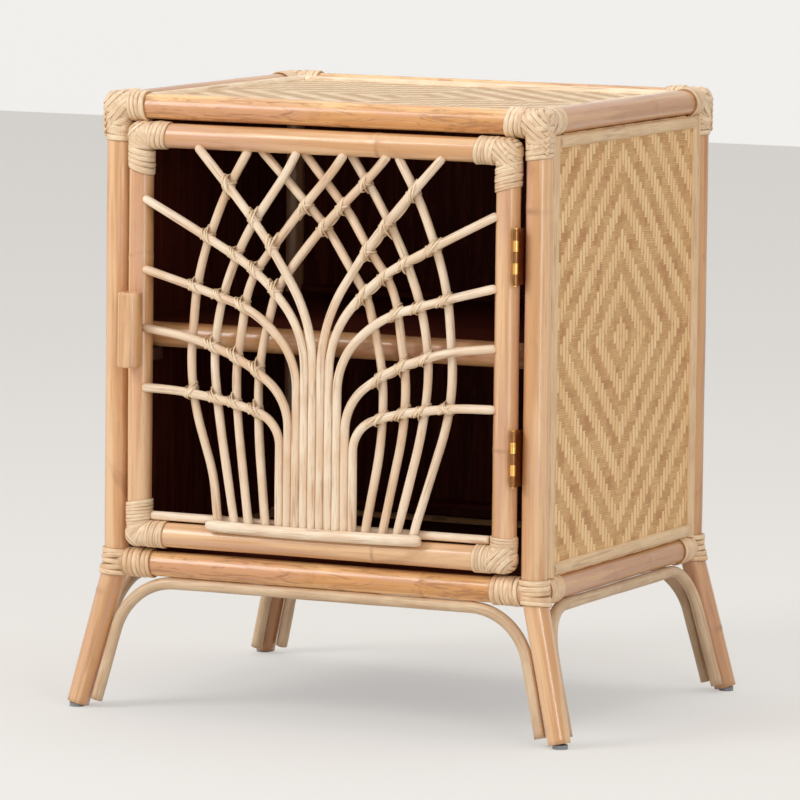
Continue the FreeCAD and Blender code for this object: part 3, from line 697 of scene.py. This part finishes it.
def bind_collar(skin, corner, arm, radius, start, end, count, thick, tilt, lean, lift):
    """Turns side by side round one pole from start to end, uneven in width, each leaning its own way."""
    pole = Joint([(corner, arm, radius)])
    widths = 1 + RNG.uniform(-0.22, 0.22, count)
    widths *= (end - start) / widths.sum()
    middles = start + np.cumsum(widths) - widths / 2
    for place, width in zip(middles, widths):
        normal = arm + np.asarray(lean, float) * (tilt + RNG.normal(0, 0.035))
        pole.turn(skin, corner + arm * place, normal, width * 1.12, thick * RNG.uniform(0.85, 1.15),
                  lift + RNG.random() * 0.3, RNG.random(), RNG.random())


def bind_fan(skin, elbow, count, width, thick, lifts):
    """Turns through the inner corner of two poles, from nearly square to the one to nearly square to the
    other."""
    for i, angle in enumerate(np.radians(np.linspace(6.0, 84.0, count))):
        way = -elbow.arm_b * math.cos(angle) - elbow.arm_a * math.sin(angle)
        normal = elbow.arm_a * math.cos(angle) - elbow.arm_b * math.sin(angle)
        middle = elbow.inner + way * (elbow.radius / max(math.cos(angle), math.sin(angle)))
        elbow.turn(skin, middle, normal, width, thick, lifts[i % len(lifts)], RNG.random(), RNG.random(),
                   dark=0.62)


def bind_over(skin, elbow, places, width, thick, lift):
    """Strips over the outer corner of two poles, square to the line from its inner corner outwards."""
    out = unit(-elbow.arm_a - elbow.arm_b)
    for i, place in enumerate(places):
        normal = out + elbow.arm_a * RNG.normal(0, 0.05)
        elbow.turn(skin, elbow.inner + out * place, normal, width * RNG.uniform(0.85, 1.15), thick,
                   lift + 0.25 * (i % 2), RNG.random(), RNG.random(), dark=0.7)


def plait(skin, centre, heading, radius, top, low):
    """A plait down a post.  Its stitches lean left and right in turn: for t from 0 to 1 a stitch's heading
    is heading + side * (0.25 - 0.4 t), its height falls by 5 t, and it stands off by sin(pi t)."""
    t = np.linspace(0, 1, 9)
    girth = 1.35 * np.sin(math.pi * np.clip(t, 0.08, 0.92)) ** 0.5
    # Painted shade at the edges of each stitch.
    groove = 0.8 * np.abs(np.cos(np.arange(8) * math.pi / 4))[None, :] ** 3
    for i, z in enumerate(np.arange(top, low, -STEP)):
        side = 1 if i % 2 else -1
        turn = heading + side * (0.25 - 0.40 * t)
        far = radius - 0.6 + np.sin(math.pi * t)
        path = np.stack([centre[0] + far * np.cos(turn), centre[1] + far * np.sin(turn), z - 5.0 * t], axis=1)
        skin.add_tube(path, girth, (0.3, 0.2, 1.0), 8, 1.5, RNG.random(), tone=RNG.random() * 0.6,
                      groove=groove)


# ---------------------------------------------------------------- frame poles
CORNERS = {"front_left": (-1, -1), "front_right": (1, -1), "back_left": (-1, 1), "back_right": (1, 1)}
POST_RINGS = {"front_left": (505.0,), "front_right": (96.0,), "back_left": (300.0,), "back_right": (560.0,)}


def post_path(sx, sy):
    """Straight down the post from the rows of its domed top, round the bend at the lower rail and down the
    leg to its foot."""
    x, y = sx * HALF_X, MID_Y + sy * HALF_Y
    foot = np.array([x + sx * SPLAY_X, y + sy * SPLAY_Y, 0.0])
    knee = np.array([x, y, LOW_RAIL_Z])
    toe = knee + (foot - knee) * (1 - GLIDE_H / LOW_RAIL_Z)
    path = rounded_route([(x, y, TOP_Z - POLE_R), knee, toe], LEG_BEND_R, step=2.5)
    dome_z = TOP_Z - POLE_R * (1 - np.linspace(1, 0.1, 9) ** 0.5)
    return np.concatenate([np.stack([np.full(9, x), np.full(9, y), dome_z], axis=1), path])


# Front posts take the honey varnish; back posts take its darker copy, which is partly painted shade.
for seed, (corner, (sx, sy)) in enumerate(CORNERS.items(), 1):
    path = post_path(sx, sy)
    taper = np.interp(path[:, 2], [0, LEG_TAPER_Z], [FOOT_R, POLE_R])
    top = np.clip((path[:, 2] - HIGH_RAIL_Z) / POLE_R, 0, 1)
    cane("post_" + corner, path, taper * (1 - top ** 4) ** 0.25 + 0.5 * top, "cabinet",
         HONEY if sy < 0 else RUSSET_AND_SHADE, POST_RINGS[corner], seed=seed)

for level_name, z in (("upper", HIGH_RAIL_Z), ("lower", LOW_RAIL_Z)):
    for side_name, y in (("front", FRONT_Y), ("back", BACK_Y)):
        node = f"{level_name}_rail_{side_name}"
        path = rail_line((RAIL_REACH - HALF_X, y, z), (HALF_X - RAIL_REACH, y, z))
        cane(node, path, POLE_R, "cabinet", AMBER, () if level_name == "upper" else (331.0,),
             seed=len(node) + y / 50)
    # The side rails take the darker copy, which is partly painted shade.
    for side_name, x in (("left", -HALF_X), ("right", HALF_X)):
        node = f"{level_name}_rail_{side_name}"
        path = rail_line((x, FRONT_Y + RAIL_REACH, z), (x, BACK_Y - RAIL_REACH, z))
        cane(node, path, POLE_R, "cabinet", RUSSET_AND_SHADE, (250.0,), level=(1, 0, 0), seed=len(node) + x / 70)

# The shelf pole inside takes the darker copy as painted shade.
path = rail_line((1.5 - HALF_X, SHELF_POLE_Y, SHELF_POLE_Z), (HALF_X - 1.5, SHELF_POLE_Y, SHELF_POLE_Z))
cane("shelf_pole", path, POLE_R, "cabinet", RUSSET_AND_SHADE, (100.0, 300.0), seed=9.5)

# ---------------------------------------------------------------- door poles
for side_name, sx in (("left", -1), ("right", 1)):
    tip = DOOR_R - 0.5
    path = line((sx * STILE_X, DOOR_Y, DOOR_LOW_Z - tip), (sx * STILE_X, DOOR_Y, DOOR_HIGH_Z + tip))
    path = with_dense_ends(path, DOOR_R)
    cane("door_stile_" + side_name, path, round_ends(path, DOOR_R, DOOR_R, 0.05), "door", HONEY,
         (290.0,) if sx < 0 else (120.0,), seed=5 + sx)
for level_name, z in (("lower", DOOR_LOW_Z), ("upper", DOOR_HIGH_Z)):
    path = rail_line((-STILE_X, DOOR_Y, z), (STILE_X, DOOR_Y, z))
    cane("door_rail_" + level_name, path, DOOR_R, "door", HONEY, (262.0,), seed=z / 100)

path = with_dense_ends(line((-STILE_X, HANDLE_Y, HANDLE_Z - HANDLE_HALF),
                            (-STILE_X, HANDLE_Y, HANDLE_Z + HANDLE_HALF)), HANDLE_BEVEL)
cane("door_handle", path, round_ends(path, HANDLE_R, HANDLE_BEVEL, 0.86), "door", HONEY, seed=3.3)


# ---------------------------------------------------------------- edges of the wall boards
def bead_edges(skin, corners):
    """Thin straight dark beads, from each corner of a board to the next, that fill the slits between its
    edges and the poles with painted shade."""
    for start, end in zip(corners, corners[1:] + corners[:1]):
        level = (0, 0, 1) if start[2] == end[2] else (0, 1, 0)
        skin.add_tube(line(start, end, 40.0), EDGE_BEAD_R, level, 8, EDGE_BEAD_R, 1.0)


low_z, high_z = LOW_RAIL_Z + EDGE_BEAD_IN, HIGH_RAIL_Z - EDGE_BEAD_IN
front_y, back_y = FRONT_Y + EDGE_BEAD_IN, BACK_Y - EDGE_BEAD_IN
skin = Skin()
for x in (-HALF_X - EDGE_BEAD_OUT, HALF_X + EDGE_BEAD_OUT):
    bead_edges(skin, [(x, front_y, low_z), (x, back_y, low_z), (x, back_y, high_z), (x, front_y, high_z)])
x, y = HALF_X - EDGE_BEAD_IN, BACK_Y + EDGE_BEAD_OUT
bead_edges(skin, [(-x, y, low_z), (x, y, low_z), (x, y, high_z), (-x, y, high_z)])
# Dark beads that stand in for the shade in the slits beside the boards.
skin.finish("wall_edge_shade_beads", BOARD_X, "cabinet", "stained_board")


# ---------------------------------------------------------------- braces
def arch_path(along_x, sign):
    """From foot to foot: beside the legs, round a bend and straight along under the rail."""
    half, splay, other, other_splay = ((HALF_X, SPLAY_X, HALF_Y, SPLAY_Y) if along_x
                                       else (HALF_Y, SPLAY_Y, HALF_X, SPLAY_X))
    inset = (POLE_R + ARCH_R + ARCH_SEAT) / math.cos(math.atan(splay / LOW_RAIL_Z))
    route = []
    for side, z in ((-1, ARCH_END_Z), (-1, ARCH_BAR_Z), (1, ARCH_BAR_Z), (1, ARCH_END_Z)):
        out = (LOW_RAIL_Z - z) / LOW_RAIL_Z
        run, away = side * (half + splay * out - inset), sign * (other + other_splay * out)
        route.append((run, away + MID_Y, z) if along_x else (away, run + MID_Y, z))
    return rounded_route(route, FRONT_ARCH_R if along_x else SIDE_ARCH_R)


for side_name, sign in (("front", -1), ("back", 1), ("left", -1), ("right", 1)):
    along_x = side_name in ("front", "back")
    skin = Skin()
    add_rod(skin, arch_path(along_x, sign), ARCH_R, (0, 1, 0) if along_x else (1, 0, 0), 24,
            1.7 + len(side_name))
    skin.finish(f"arch_{side_name}_rod", CORE_TAN, "cabinet", "rattan_core", "arch_" + side_name)

# ---------------------------------------------------------------- door lattice
# x out from the door's middle line, z up from its lower rail, as the lattice's own drawing has them.
# A fan rod's elbow in the bundle and the points of its arm, from the outermost rod to the innermost.
FAN_ARMS = [
    (122.0, [(88, 138), (150, 147), (194, 148)]),
    (145.0, [(78, 180), (138, 201), (194, 208)]),
    (186.0, [(67, 231), (137, 252), (194, 267)]),
    (211.0, [(62, 269), (140, 311), (194, 338)]),
    (223.0, [(58, 305), (91, 344), (135, 392)]),
]
# A bowed rod's points from its foot to its head, each with its depth.
BOWS = [
    [(106, 9, "clamp"), (109, 26, "clamp"), (117, 62, "behind"), (146, 152, "behind"), (137, 268, "behind"),
     (107, 346, "behind"), (81, 391, "behind")],
    [(87, 9, "clamp"), (91, 26, "clamp"), (112, 122, "behind"), (119, 184, "behind"), (110, 243, "behind"),
     (86, 303, "behind"), (52, 352, "dive"), (46, 360, "behind"), (38, 372, "lift"), (25, 391, "head")],
    [(72, 9, "clamp"), (75, 26, "clamp"), (91, 118, "behind"), (94, 168, "behind"), (80, 260, "behind"),
     (50, 299, "behind"), (28, 327, "dive"), (20, 337, "behind"), (-10, 371, "lift"), (-27, 391, "head")],
    [(54, 9, "clamp"), (56, 26, "clamp"), (68, 108, "behind"), (69, 178, "behind"), (50, 251, "behind"),
     (34, 274, "behind"), (6, 309, "dive"), (-3, 320, "behind"), (-55, 372, "lift"), (-74, 391, "head")],
]
ROD_COLUMNS = 18


def on_door(x, z, y, side):
    return np.array([side * x, y, DOOR_LOW_Z + z])


def fan_route(order, side):
    """Up the bundle in the middle from the rod's own place in it, round the elbow and out along the arm."""
    elbow_z, arm = FAN_ARMS[order]
    bundle_x = (len(FAN_ARMS) - order - 0.5) * ROD_PITCH
    return [on_door(x, z, FAN_Y, side) for x, z in [(bundle_x, ROD_FOOT_Z), (bundle_x, elbow_z)] + arm]


def bow_route(order, side):
    """A left bow lifts under the upper rail, and a right one dives behind the left ones and stays there."""
    route, dived = [], False
    for x, z, where in BOWS[order]:
        if where != ("dive" if side == -1 else "lift"):
            dived = dived or where == "dive"
            depth = {"clamp": FAN_Y, "head": HEAD_Y}.get(where, BEHIND_Y)
            route.append(on_door(x, z, BEHIND_Y + LAYER if dived else depth, side))
    return route


def crossing(front, back):
    """Where two paths cross, seen from the front: the points that lie nearest each other there, as
    (front point, its way, back point, its way), or None where they stay apart."""
    gap = np.linalg.norm((front[:, None] - back[None, :])[..., [0, 2]], axis=-1)
    i, j = np.unravel_index(np.argmin(gap), gap.shape)
    if gap[i, j] > 2.5 or i in (0, len(front) - 1) or j in (0, len(back) - 1):
        return None
    return front[i], unit(front[i + 1] - front[i - 1]), back[j], unit(back[j + 1] - back[j - 1])


def crossings(front, backs):
    """Where one rod crosses those behind it, from the highest place down."""
    found = [crossing(front, back) for back in backs]
    return sorted((meeting for meeting in found if meeting), key=lambda meeting: -meeting[0][2])


def tie(skin, start, end):
    """A loose end of the tying peel, carried on behind a rod to its next lashing: the straight way from
    start to end, plus 3.6 sin(pi t) downwards and 2 sin(pi t) back."""
    t = np.linspace(0, 1, 14)[:, None]
    path = start + (end - start) * t + np.sin(math.pi * t) * np.array([0.0, 2.0, -3.6])
    girth = np.broadcast_to([1.5, 1.2, 0.7, 1.2] * 2, (len(path), 8))
    skin.add_tube(path, girth, (0, 1, 0), 8, 1.3, RNG.random(), tone=RNG.random())


def lash(skin, meeting):
    """A band of three strands over a pair of crossed rods, across the flatter line between them, on a
    strand that runs the other way.  All are pulled tight over both rods."""
    place_a, way_a, place_b, way_b = meeting
    pair = Joint([(place_a - 60 * way_a, way_a, ROD_R), (place_b - 60 * way_b, way_b, ROD_R)])
    flatter, steeper = sorted((unit(way_a + way_b), unit(way_a - way_b)), key=lambda way: -abs(way[0]))
    for across, places, lift in ((steeper, (0.3,), 0.0), (flatter, (-1.9, 1.9, 0.0), 0.3)):
        for place in places:
            lean = across + np.array([1.0, 0.0, 1.0]) * RNG.normal(0, 0.08)
            middle = (place_a + place_b) / 2 + across * (place + RNG.normal(0, 0.25))
            pair.turn(skin, middle, lean, 2.7, 1.0, lift + 0.25 * (place == 0), RNG.random(), RNG.random(),
                      rows=20, reach=22.0, flat=False)


fans, bows = {}, {}
for side, hand in ((-1, "left"), (1, "right")):
    fans[side] = [rounded_route(fan_route(i, side)) for i in range(len(FAN_ARMS))]
    bows[side] = [rounded_route(bow_route(i, side)) for i in range(len(BOWS))]
    for label, paths in (("fan_rods_", fans[side]), ("bowed_rods_", bows[side])):
        skin = Skin("tone")
        for i, path in enumerate(paths):
            add_rod(skin, path, ROD_R, (0, 1, 0), ROD_COLUMNS, side + 2.3 * i + len(label), ROD_R,
                    tone=RNG.random() ** 2)
        skin.finish(label + hand + "_core", CORE, "door", "rattan_core", label + hand)

skin = Skin("tone", "groove")
fronts = [(fan, bows[side]) for side in (-1, 1) for fan in fans[side]]
fronts += [(left, bows[1]) for left in bows[-1]]
for front, backs in fronts:
    knots = crossings(front, backs)
    for meeting in knots:
        lash(skin, meeting)
    for upper, lower in zip(knots, knots[1:]):
        start, end = [knot[0] * 0.4 + knot[2] * 0.6 for knot in (upper, lower)]
        if np.linalg.norm(end - start) < 55 and RNG.random() < 0.6:
            tie(skin, start, end)
skin.finish("lattice_lashings", PEEL_TIE, "door", "rattan_peel")

skin = Skin("tone")
sill_y = FAN_Y + 2 * ROD_R + 0.2
add_rod(skin, line((-SILL_HALF, sill_y, SILL_Z), (SILL_HALF, sill_y, SILL_Z)), ROD_R, (0, 1, 0), 20, 4.4,
        tone=0.2)
skin.finish("sill_rod_core", CORE, "door", "rattan_core", "sill_rod")

# The strip nailed over the rods' feet: a half-round, its round side to the front, that sags a little in the
# middle by CLAMP_SAG * (1 - (x / CLAMP_HALF)^2) and thins towards its ends.
x = np.concatenate([[-118.0, -117.2, -115.5], np.linspace(-112, 112, 57), [115.0, 117.0, 118.0]])
path = np.stack([x, np.full_like(x, FAN_Y - ROD_R - 0.1), CLAMP_Z - CLAMP_SAG * (1 - (x / CLAMP_HALF) ** 2)],
                axis=1)
angle = np.linspace(0, math.pi, 15)
round_side = np.stack([0 * angle, -CLAMP_OUT * np.sin(angle), CLAMP_HALF_H * np.cos(angle)], axis=1)
flat_side = np.stack([0 * angle, 0 * angle, -CLAMP_HALF_H * np.cos(angle)], axis=1)[1:-1]
section = np.concatenate([round_side, flat_side])
end = 1 - 0.35 * np.clip((np.abs(x) - CLAMP_HALF + 5) / 5, 0, 1) ** 2
skin = Skin()
u = np.linspace(0, 33, len(section) + 1) * MM
skin.add(path[:, None] + end[:, None, None] * section[None], u, along_path(path) * MM + 0.31)
skin.finish("rod_clamp_strip", CORE, "door", "rattan_core", "rod_clamp")

# ---------------------------------------------------------------- windings over the joints
UP, DOWN = np.array([0, 0, 1.0]), np.array([0, 0, -1.0])
RIGHT = (1, 0, 0)
STRIPS_OVER = (9.0, 14.0, 19.0, 24.0, 29.0)
DOOR_STRIPS_OVER = (9.5, 14.0, 18.5, 23.0, 27.0)


def cabinet_corner(sx, sy, z):
    """A post's corner at a rail's height, and the ways from it along the two rails."""
    corner = np.array([sx * HALF_X, MID_Y + sy * HALF_Y, z])
    return corner, np.array([-sx, 0, 0.0]), np.array([0, -sy, 0.0])


skin = Skin("tone", "groove")
bound_r = POLE_R - BITE
for sx, sy in CORNERS.values():
    corner, in_x, in_y = cabinet_corner(sx, sy, HIGH_RAIL_Z)
    for arm, length in ((in_x, 31.0), (in_y, 31.0), (DOWN, 32.0)):
        under_sleeve(skin, corner, arm, POLE_R, length)
    bind_collar(skin, corner, in_x, bound_r, 14.0, 33.0, 4, 3.0, -0.12, DOWN, -0.2)
    bind_collar(skin, corner, in_y, bound_r, 14.0, 33.0, 4, 2.5, 0.1, DOWN, -0.2)
    bind_collar(skin, corner, DOWN, bound_r, 13.0, 35.0, 4, 1.6, 0.14 * sx, RIGHT, -0.2)
    for arm, lift in ((in_y, 0.1), (in_x, 0.4)):
        elbow = Elbow(corner, arm, DOWN, POLE_R, 4.0)
        bind_fan(skin, elbow, 7, 6.4, 1.3, (lift - 0.2, lift))
        bind_over(skin, elbow, STRIPS_OVER, 6.0, 1.2, lift + 0.3)
    plait(skin, corner, math.atan2(sy, sx) - 0.12 * sx * sy, POLE_R + 2.5, TOP_Z - 9.0, HIGH_RAIL_Z - 28.0)
skin.finish("upper_bindings_peel", PEEL_WRAP, "cabinet", "rattan_peel", "upper_bindings")

skin = Skin("tone", "groove")
for sx, sy in CORNERS.values():
    corner, in_x, in_y = cabinet_corner(sx, sy, LOW_RAIL_Z)
    for arm in (in_x, in_y):
        under_sleeve(skin, corner, arm, POLE_R, 40.0)
        bind_collar(skin, corner, arm, POLE_R, 12.5, 42.5, 6, 2.4, 0.06 * sx, DOWN, -0.3)
    post = Joint([(corner, UP, POLE_R), (corner, (sx * SPLAY_X, sy * SPLAY_Y, -LOW_RAIL_Z), POLE_R)])
    for i in range(5):
        lean = np.array([RNG.normal(0, 0.05), RNG.normal(0, 0.05), 1.0])
        post.turn(skin, corner + UP * (10.4 - 5.2 * i), lean, RNG.uniform(5.4, 6.4), RNG.uniform(2.4, 3.2),
                  0.1, RNG.random(), RNG.random())
skin.finish("lower_bindings_peel", PEEL_TAN, "cabinet", "rattan_peel", "lower_bindings")

# Each door corner's turns: how many on the stile, how far they reach and how they lean, the same on the
# rail, and how far from the inner corner the strips over the outer one lie.
DOOR_TURNS = {
    (1, DOOR_HIGH_Z): ((7, 37.0, 0.34), (5, 33.0, 0.12), DOOR_STRIPS_OVER),
    (1, DOOR_LOW_Z): ((3, 23.0, 0.1), (5, 30.0, 0.05), DOOR_STRIPS_OVER),
    (-1, DOOR_LOW_Z): ((6, 33.0, -0.16), (6, 31.0, -0.14), (24.0, 28.0)),
    (-1, DOOR_HIGH_Z): ((4, 36.0, -0.3), (4, 31.0, -0.2), (19.0, 24.0, 28.0)),
}
skin = Skin("tone", "groove")
bound_r = DOOR_R - BITE
for (sx, z), (stile, rail, places) in DOOR_TURNS.items():
    corner = np.array([sx * STILE_X, DOOR_Y, z])
    in_x, in_z = np.array([-sx, 0, 0.0]), UP if z == DOOR_LOW_Z else DOWN
    under_sleeve(skin, corner, in_z, DOOR_R, stile[1] - 2.0)
    under_sleeve(skin, corner, in_x, DOOR_R, rail[1] - 2.0)
    for arm, begin, (count, reach, tilt), thick, lean in ((in_z, 13.0, stile, 1.6, RIGHT),
                                                          (in_x, 12.4, rail, 1.8, UP)):
        bind_collar(skin, corner, arm, bound_r, begin, reach, count, thick, tilt, lean, -0.1)
    elbow = Elbow(corner, in_x, in_z, DOOR_R, 2.6)
    bind_fan(skin, elbow, 10, 4.4, 1.1, (-0.1, 0.2))
    bind_over(skin, elbow, places, 4.8, 1.0, 0.35)
skin.finish("door_bindings_peel", PEEL_WRAP, "door", "rattan_peel", "door_bindings")


# ---------------------------------------------------------------- screws in the hinges
def leaf_screws(name, body, pole, pole_radius, side):
    """Three flush heads on each leaf: low domes of SCREW_R that stand 0.12 off the leaf's open face.
    The leaf runs back from the hinge's axis so that its other face touches its pole."""
    axis = np.array([HINGE_X, HINGE_Y])
    to_pole = pole - axis
    turn = math.asin((pole_radius + LEAF_OFF + 0.05) / np.linalg.norm(to_pole))
    angle = math.atan2(to_pole[1], to_pole[0]) + side * turn
    heading = np.array([math.cos(angle), math.sin(angle), 0.0])
    away = np.array([-heading[1], heading[0], 0.0]) * side
    skin = Skin()
    height = np.array([-0.75, 0.02, 0.08, 0.11, 0.12])
    girth = np.array([SCREW_R, SCREW_R, 2.2, 1.2, 0.2])
    for z in HINGE_Z:
        for place in (-1, 0, 1):
            foot = np.array([*axis, z + place * SCREW_APART]) - away * 0.2
            foot = foot + heading * (13.5 if place else 16.0)
            skin.add_tube(foot + away * height[:, None], girth, (0, 0, 1), 16, SCREW_R, place + z)
    skin.finish(name, SCREW, body, "brass")


leaf_screws("post_leaf_screws", "cabinet", np.array([HALF_X, FRONT_Y]), POLE_R, 1)
leaf_screws("door_leaf_screws", "door", np.array([STILE_X, DOOR_Y]), DOOR_R, -1)

# ---------------------------------------------------------------- materials of the plain solids
FINISHES = {
    SIDE_STRIP: ("side_trims_left", "side_trims_right"),
    BACK_STRIP: ("back_trims",),
    TOP_STRIP: ("top_trims",),
    SIDE_WEAVE: ("side_mat_left", "side_mat_right"),
    BACK_WEAVE: ("back_mat",),
    TOP_WEAVE: ("top_mat",),
    BOARD_X: ("top_board", "floor_board", "shelf_board", "shelf_cleats", "back_beads"),
    BOARD_Z: ("side_board_left", "side_board_right", "back_board"),
    BRASS: ("hinge_leaves_door", "hinge_pins"),
    SHADED_BRASS: ("hinge_leaves_post",),
    GREY: ("foot_glides",),
    BROWN: ("catch_magnet",),
    STEEL: ("catch_strike",),
}
for material, names in FINISHES.items():
    for name in names:
        NODES[name].data.materials.clear()
        NODES[name].data.materials.append(material)

# ---------------------------------------------------------------- studio, in metres
STAGE_SIDE, WALL_Y, WALL_Z = 9.0, 7.4, 6.0
WHITE_RAYS = ("Is Camera Ray", "Is Glossy Ray", "Is Transmission Ray")


def stage_sheet(name, corners, material):
    mesh = bpy.data.meshes.new(name)
    mesh.from_pydata(corners, [], [(0, 1, 2, 3)])
    sheet = bpy.data.objects.new(name, mesh)
    bpy.context.scene.collection.objects.link(sheet)
    mesh.materials.append(material)


def pale_stage(name, colour, share):
    """A pale matt surface.  The camera, mirrors and glass see a share of plain white in it, and the rest
    keeps the shadow that falls on it."""
    s = Shader(name, {"Roughness": 0.9, "Specular IOR Level": 0.0, "Base Color": (*colour, 1.0)})
    rays = s.node("LightPath").socket.node.outputs
    camera_ray, glossy_ray, glass_ray = [Field(s, rays[ray]) for ray in WHITE_RAYS]
    seen = (camera_ray + glossy_ray + glass_ray).math("MINIMUM", 1.0)
    white = s.node("Emission", inputs={"Color": (1.0, 0.99, 0.97, 1.0), "Strength": 0.95})
    both = s.node("MixShader", inputs={0: seen * share, 1: Field(s, s.surface.outputs[0]), 2: white})
    s.tree.links.new(both.socket, s.tree.nodes["Material Output"].inputs["Surface"])
    return s.material


stage_sheet("floor", [(-STAGE_SIDE, -STAGE_SIDE, 0), (STAGE_SIDE, -STAGE_SIDE, 0),
                      (STAGE_SIDE, WALL_Y, 0), (-STAGE_SIDE, WALL_Y, 0)],
            pale_stage("pale_floor", (0.74, 0.71, 0.67), 0.45))
stage_sheet("backdrop", [(-STAGE_SIDE, WALL_Y, 0), (STAGE_SIDE, WALL_Y, 0),
                         (STAGE_SIDE, WALL_Y, WALL_Z), (-STAGE_SIDE, WALL_Y, WALL_Z)],
            pale_stage("pale_wall", (0.86, 0.84, 0.80), 0.85))


def soft_light(name, place, aim, size, watts, matt=True):
    """A rectangle of light.  One that isn't matt shows only as a line of gloss along the varnish."""
    light = bpy.data.lights.new(name, "AREA")
    light.shape = "RECTANGLE"
    light.size, light.size_y = size
    light.energy = watts
    lamp = bpy.data.objects.new(name, light)
    lamp.location = place
    lamp.visible_camera = False
    lamp.visible_diffuse = matt
    lamp.rotation_euler = (Vector(aim) - Vector(place)).to_track_quat("-Z", "Y").to_euler()
    bpy.context.scene.collection.objects.link(lamp)


soft_light("key", (-2.2, -2.6, 2.4), aim=(0, 0, 0.3), size=(1.6, 1.6), watts=62)
soft_light("fill", (2.6, -2.4, 1.6), aim=(0, 0, 0.3), size=(1.2, 1.8), watts=20)
soft_light("gloss", (1.9, -1.65, 0.96), aim=(0, 0, 0.96), size=(0.4, 1.9), watts=12, matt=False)
soft_light("over", (0.2, 0.4, 3.2), aim=(0, 0, 0.3), size=(2.5, 2.0), watts=24)

# The world lights the object at its low strength, and is seen at its high one.
world = bpy.data.worlds.new("studio")
world.use_nodes = True
studio = world.node_tree
rays = studio.nodes.new("ShaderNodeLightPath").outputs
seen = None
for ray in WHITE_RAYS:
    most = studio.nodes.new("ShaderNodeMath")
    most.operation = "MAXIMUM"
    studio.links.new(rays[ray], most.inputs[0])
    if seen:
        studio.links.new(seen, most.inputs[1])
    seen = most.outputs[0]
level = studio.nodes.new("ShaderNodeMapRange")
level.inputs["To Min"].default_value = 0.36
level.inputs["To Max"].default_value = 0.85
studio.links.new(seen, level.inputs["Value"])
studio.links.new(level.outputs[0], studio.nodes["Background"].inputs["Strength"])
studio.nodes["Background"].inputs["Color"].default_value = (1.0, 0.985, 0.96, 1.0)
bpy.context.scene.world = world
bpy.context.scene.view_settings.view_transform = "Standard"

# ---------------------------------------------------------------- camera, in metres
EYE = Vector((2.811, -5.9234, 1.048))
TARGET = Vector((0.1134, -0.2502, 0.3377))
ROLL = math.radians(0.66)
ahead = (TARGET - EYE).normalized()
right = ahead.cross(Vector((0, 0, 1))).normalized()
up = right.cross(ahead)
rolled_right = right * math.cos(ROLL) + up * math.sin(ROLL)
rolled_up = up * math.cos(ROLL) - right * math.sin(ROLL)
lens = bpy.data.cameras.new("camera")
lens.lens = 292.8
lens.sensor_width = 36.0
lens.clip_end = 60.0
camera = bpy.data.objects.new("camera", lens)
camera.matrix_world = Matrix((
    (rolled_right.x, rolled_up.x, -ahead.x, EYE.x),
    (rolled_right.y, rolled_up.y, -ahead.y, EYE.y),
    (rolled_right.z, rolled_up.z, -ahead.z, EYE.z),
    (0, 0, 0, 1)))
bpy.context.scene.collection.objects.link(camera)
bpy.context.scene.camera = camera

bpy.context.view_layer.update()
